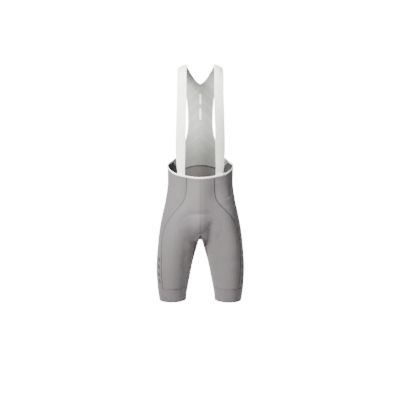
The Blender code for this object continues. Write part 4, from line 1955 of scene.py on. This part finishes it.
@dataclass
class Straps:
    """The flat shoulder straps, from behind the shoulder down into the waist.

    Each row of the outline gives a height and x of the inner and the outer edge, in millimetres.
    """

    tailor: Tailor
    rows: int = 240
    rear_rows: int = 12
    columns: int = 14
    cloth: float = 1.2 * MM
    top: float = -4 * MM
    foot: float = -0.450
    tuck: float = 2.1 * MM
    tuck_from: float = -0.408
    tuck_to: float = -0.375
    width: float = 0.0345
    cut_width: float = 0.036
    long_stretch: float = 1.08
    stretch: float = 1.1
    outline: tuple[tuple[float, float, float], ...] = (
        (-455, 60.0, 85.0),
        (-412, 59.0, 86.4),
        (-323, 56.2, 91.8),
        (-249, 54.9, 90.3),
        (-184, 52.8, 88.0),
        (-106, 51.4, 86.0),
        (-26, 51.5, 85.8),
        (0, 51.8, 85.3),
    )

    @classmethod
    def edges(cls, height: Numbers) -> tuple[np.ndarray, np.ndarray]:
        """x of the inner and the outer edge at a height."""
        heights, inner, outer = np.array(cls.outline, float).T * MM
        return smooth_curve(heights, inner, height), smooth_curve(heights, outer, height)

    def grid(self) -> Grid:
        """Points of the left strap's face, rows going from the back over the shoulder and down."""
        figure = self.tailor.figure
        behind = np.linspace(1, 0, self.rear_rows, endpoint=False) ** 2 * self.top
        before = np.linspace(0, 1, self.rows) ** 2 * self.foot
        height = np.concatenate([behind, before])[:, None]
        inner, outer = self.edges(height)
        x = inner + (outer - inner) * np.linspace(0, 1, self.columns + 1)
        rear = np.arange(len(height))[:, None] < self.rear_rows
        y = np.where(rear, figure.torso_y(x, height, 1), figure.torso_y(x, height, -1))
        points = np.stack([x, y, height + figure.shoulder_drop(x, height)], axis=-1)
        under = self.tuck - self.tailor.relief.at(points)[..., None]
        tucked = under * (1 - ramp(points[..., 2:], self.tuck_from, self.tuck_to))
        low = points[..., 2:] < self.tuck_to
        return np.where(low, points - figure.outward(points) * tucked, points)

    def build(self) -> None:
        """Builds both straps and sews their ends."""
        tailor, wardrobe = self.tailor, self.tailor.wardrobe
        points = self.grid()
        normals = unit(np.cross(np.gradient(points, axis=0), np.gradient(points, axis=1)))
        for side in Side:
            end = side.name.lower()
            turn = np.array([side.value, 1, 1])
            spots, facing = tailor.facing_out(side, points * turn, normals * turn)
            cloth = Cloth(f"strap_{end}_cloth", spots, facing, self.cloth)
            sheet = cloth.build(wardrobe.elastic, wardrobe.elastic)
            piece = tailor.fit(sheet, Slot.ELASTIC, f"strap_{end}")
            length = cloth.area() / self.width / self.long_stretch
            cut = Cut(self.cut_width, length, cloth.area() / self.stretch)
            cut.declare(piece, "mesh_back", "waist_tape")
            sizes = {"width": 5.0 * MM, "height": 0.5 * MM, "thread": 0.2 * MM}
            joint = SeamLine(f"shoulder_seam_{end}", spots[0], facing[0], **sizes)
            tailor.sew(joint, Slot.ELASTIC, wardrobe.net_edge, wardrobe.pale_thread)


@dataclass(frozen=True)
class Lamp:
    """A square soft light, placed by its direction in degrees and its distance in metres."""

    name: str
    azimuth: float
    elevation: float
    distance: float
    size: float
    power: float

    def hang(self, target: Vector) -> None:
        """Adds the light.

        Args:
            target: What it faces.
        """
        away = toward(self.azimuth, self.elevation)
        bpy.ops.object.select_all(action="DESELECT")
        bpy.ops.object.light_add(
            type="AREA",
            location=target + away * self.distance,
            rotation=(-away).to_track_quat("-Z", "Y").to_euler(),
        )
        lamp = bpy.context.object
        lamp.name = self.name
        lamp.data.size = self.size
        lamp.data.energy = self.power


@dataclass(frozen=True)
class Studio:
    """A pale room: a floor, a white surround, three soft lights and the camera."""

    target: tuple[float, float, float] = (0, 0, -0.5175)
    distance: float = 3.0
    elevation: float = 5.0
    lens: float = 70.13
    floor_height: float = -1.60
    floor_radius: float = 0.8
    surround: float = 0.22
    surround_seen: float = 16.0
    floor_glow: float = 1.4
    sensor: float = 36.0
    image: int = 400
    shift: tuple[float, float] = (-0.35, 0.5)
    lamps: tuple[Lamp, ...] = (
        Lamp("key light", -36, 40, 1.7, 0.6, 148.0),
        Lamp("fill light", 65, 5, 3.0, 1.2, 42.0),
        Lamp("back light", 180, 20, 2.4, 2.0, 130.0),
    )

    def floor(self) -> None:
        """Adds the floor, which glows a little, so that it is white and throws light up."""
        bpy.ops.object.select_all(action="DESELECT")
        bpy.ops.mesh.primitive_circle_add(
            vertices=96,
            radius=self.floor_radius,
            fill_type="NGON",
            location=(0, 0, self.floor_height),
        )
        disc = bpy.context.object
        disc.name = "floor"
        nodes = Nodes("pale floor")
        tone = nodes.mix(nodes.noise(3.0), (0.90, 0.90, 0.90, 1.0), (0.92, 0.92, 0.92, 1.0))
        nodes.matt(tone, 0.8, 0.0)
        nodes.surface.inputs["Emission Color"].default_value = (1, 1, 1, 1)
        nodes.surface.inputs["Emission Strength"].default_value = self.floor_glow
        disc.data.materials.append(nodes.material)

    def world(self) -> None:
        """Makes the surround: white where it shows, softer as light."""
        world = bpy.data.worlds.new("white surround")
        world.use_nodes = True
        tree = world.node_tree
        tree.nodes.clear()
        path = tree.nodes.new("ShaderNodeLightPath")
        choose = tree.nodes.new("ShaderNodeMixShader")
        out = tree.nodes.new("ShaderNodeOutputWorld")
        tree.links.new(path.outputs["Is Camera Ray"], choose.inputs[0])
        for place, strength in ((1, self.surround), (2, self.surround_seen)):
            white = tree.nodes.new("ShaderNodeBackground")
            white.inputs["Color"].default_value = (1, 1, 1, 1)
            white.inputs["Strength"].default_value = strength
            tree.links.new(white.outputs[0], choose.inputs[place])
        tree.links.new(choose.outputs[0], out.inputs["Surface"])
        bpy.context.scene.world = world

    def camera(self) -> None:
        """Adds the camera where the photograph was taken from."""
        back = toward(0, self.elevation)
        bpy.ops.object.camera_add(location=Vector(self.target) + back * self.distance)
        camera = bpy.context.object
        camera.rotation_euler = (-back).to_track_quat("-Z", "Y").to_euler()
        camera.data.lens = self.lens
        camera.data.sensor_width = self.sensor
        camera.data.shift_x, camera.data.shift_y = (pixels / self.image for pixels in self.shift)
        camera.data.dof.use_dof = False
        bpy.context.scene.camera = camera

    def build(self) -> None:
        """Sets up the room, the lights and the camera."""
        self.floor()
        self.world()
        for lamp in self.lamps:
            lamp.hang(Vector(self.target))
        self.camera()


def main() -> None:
    """Builds the garment piece by piece, then the studio round it."""
    logging.basicConfig(level=logging.INFO, format="%(name)s: %(message)s")
    tailor = Tailor(Wardrobe())
    BodyPanels(tailor).build()
    HemBands(tailor).build()
    WaistTape(tailor).build()
    NetBack(tailor).build(Straps.top)
    Straps(tailor).build()
    Studio().build()
    LOG.info("%d pieces in all", tailor.made)


if __name__ == "__main__":
    main()
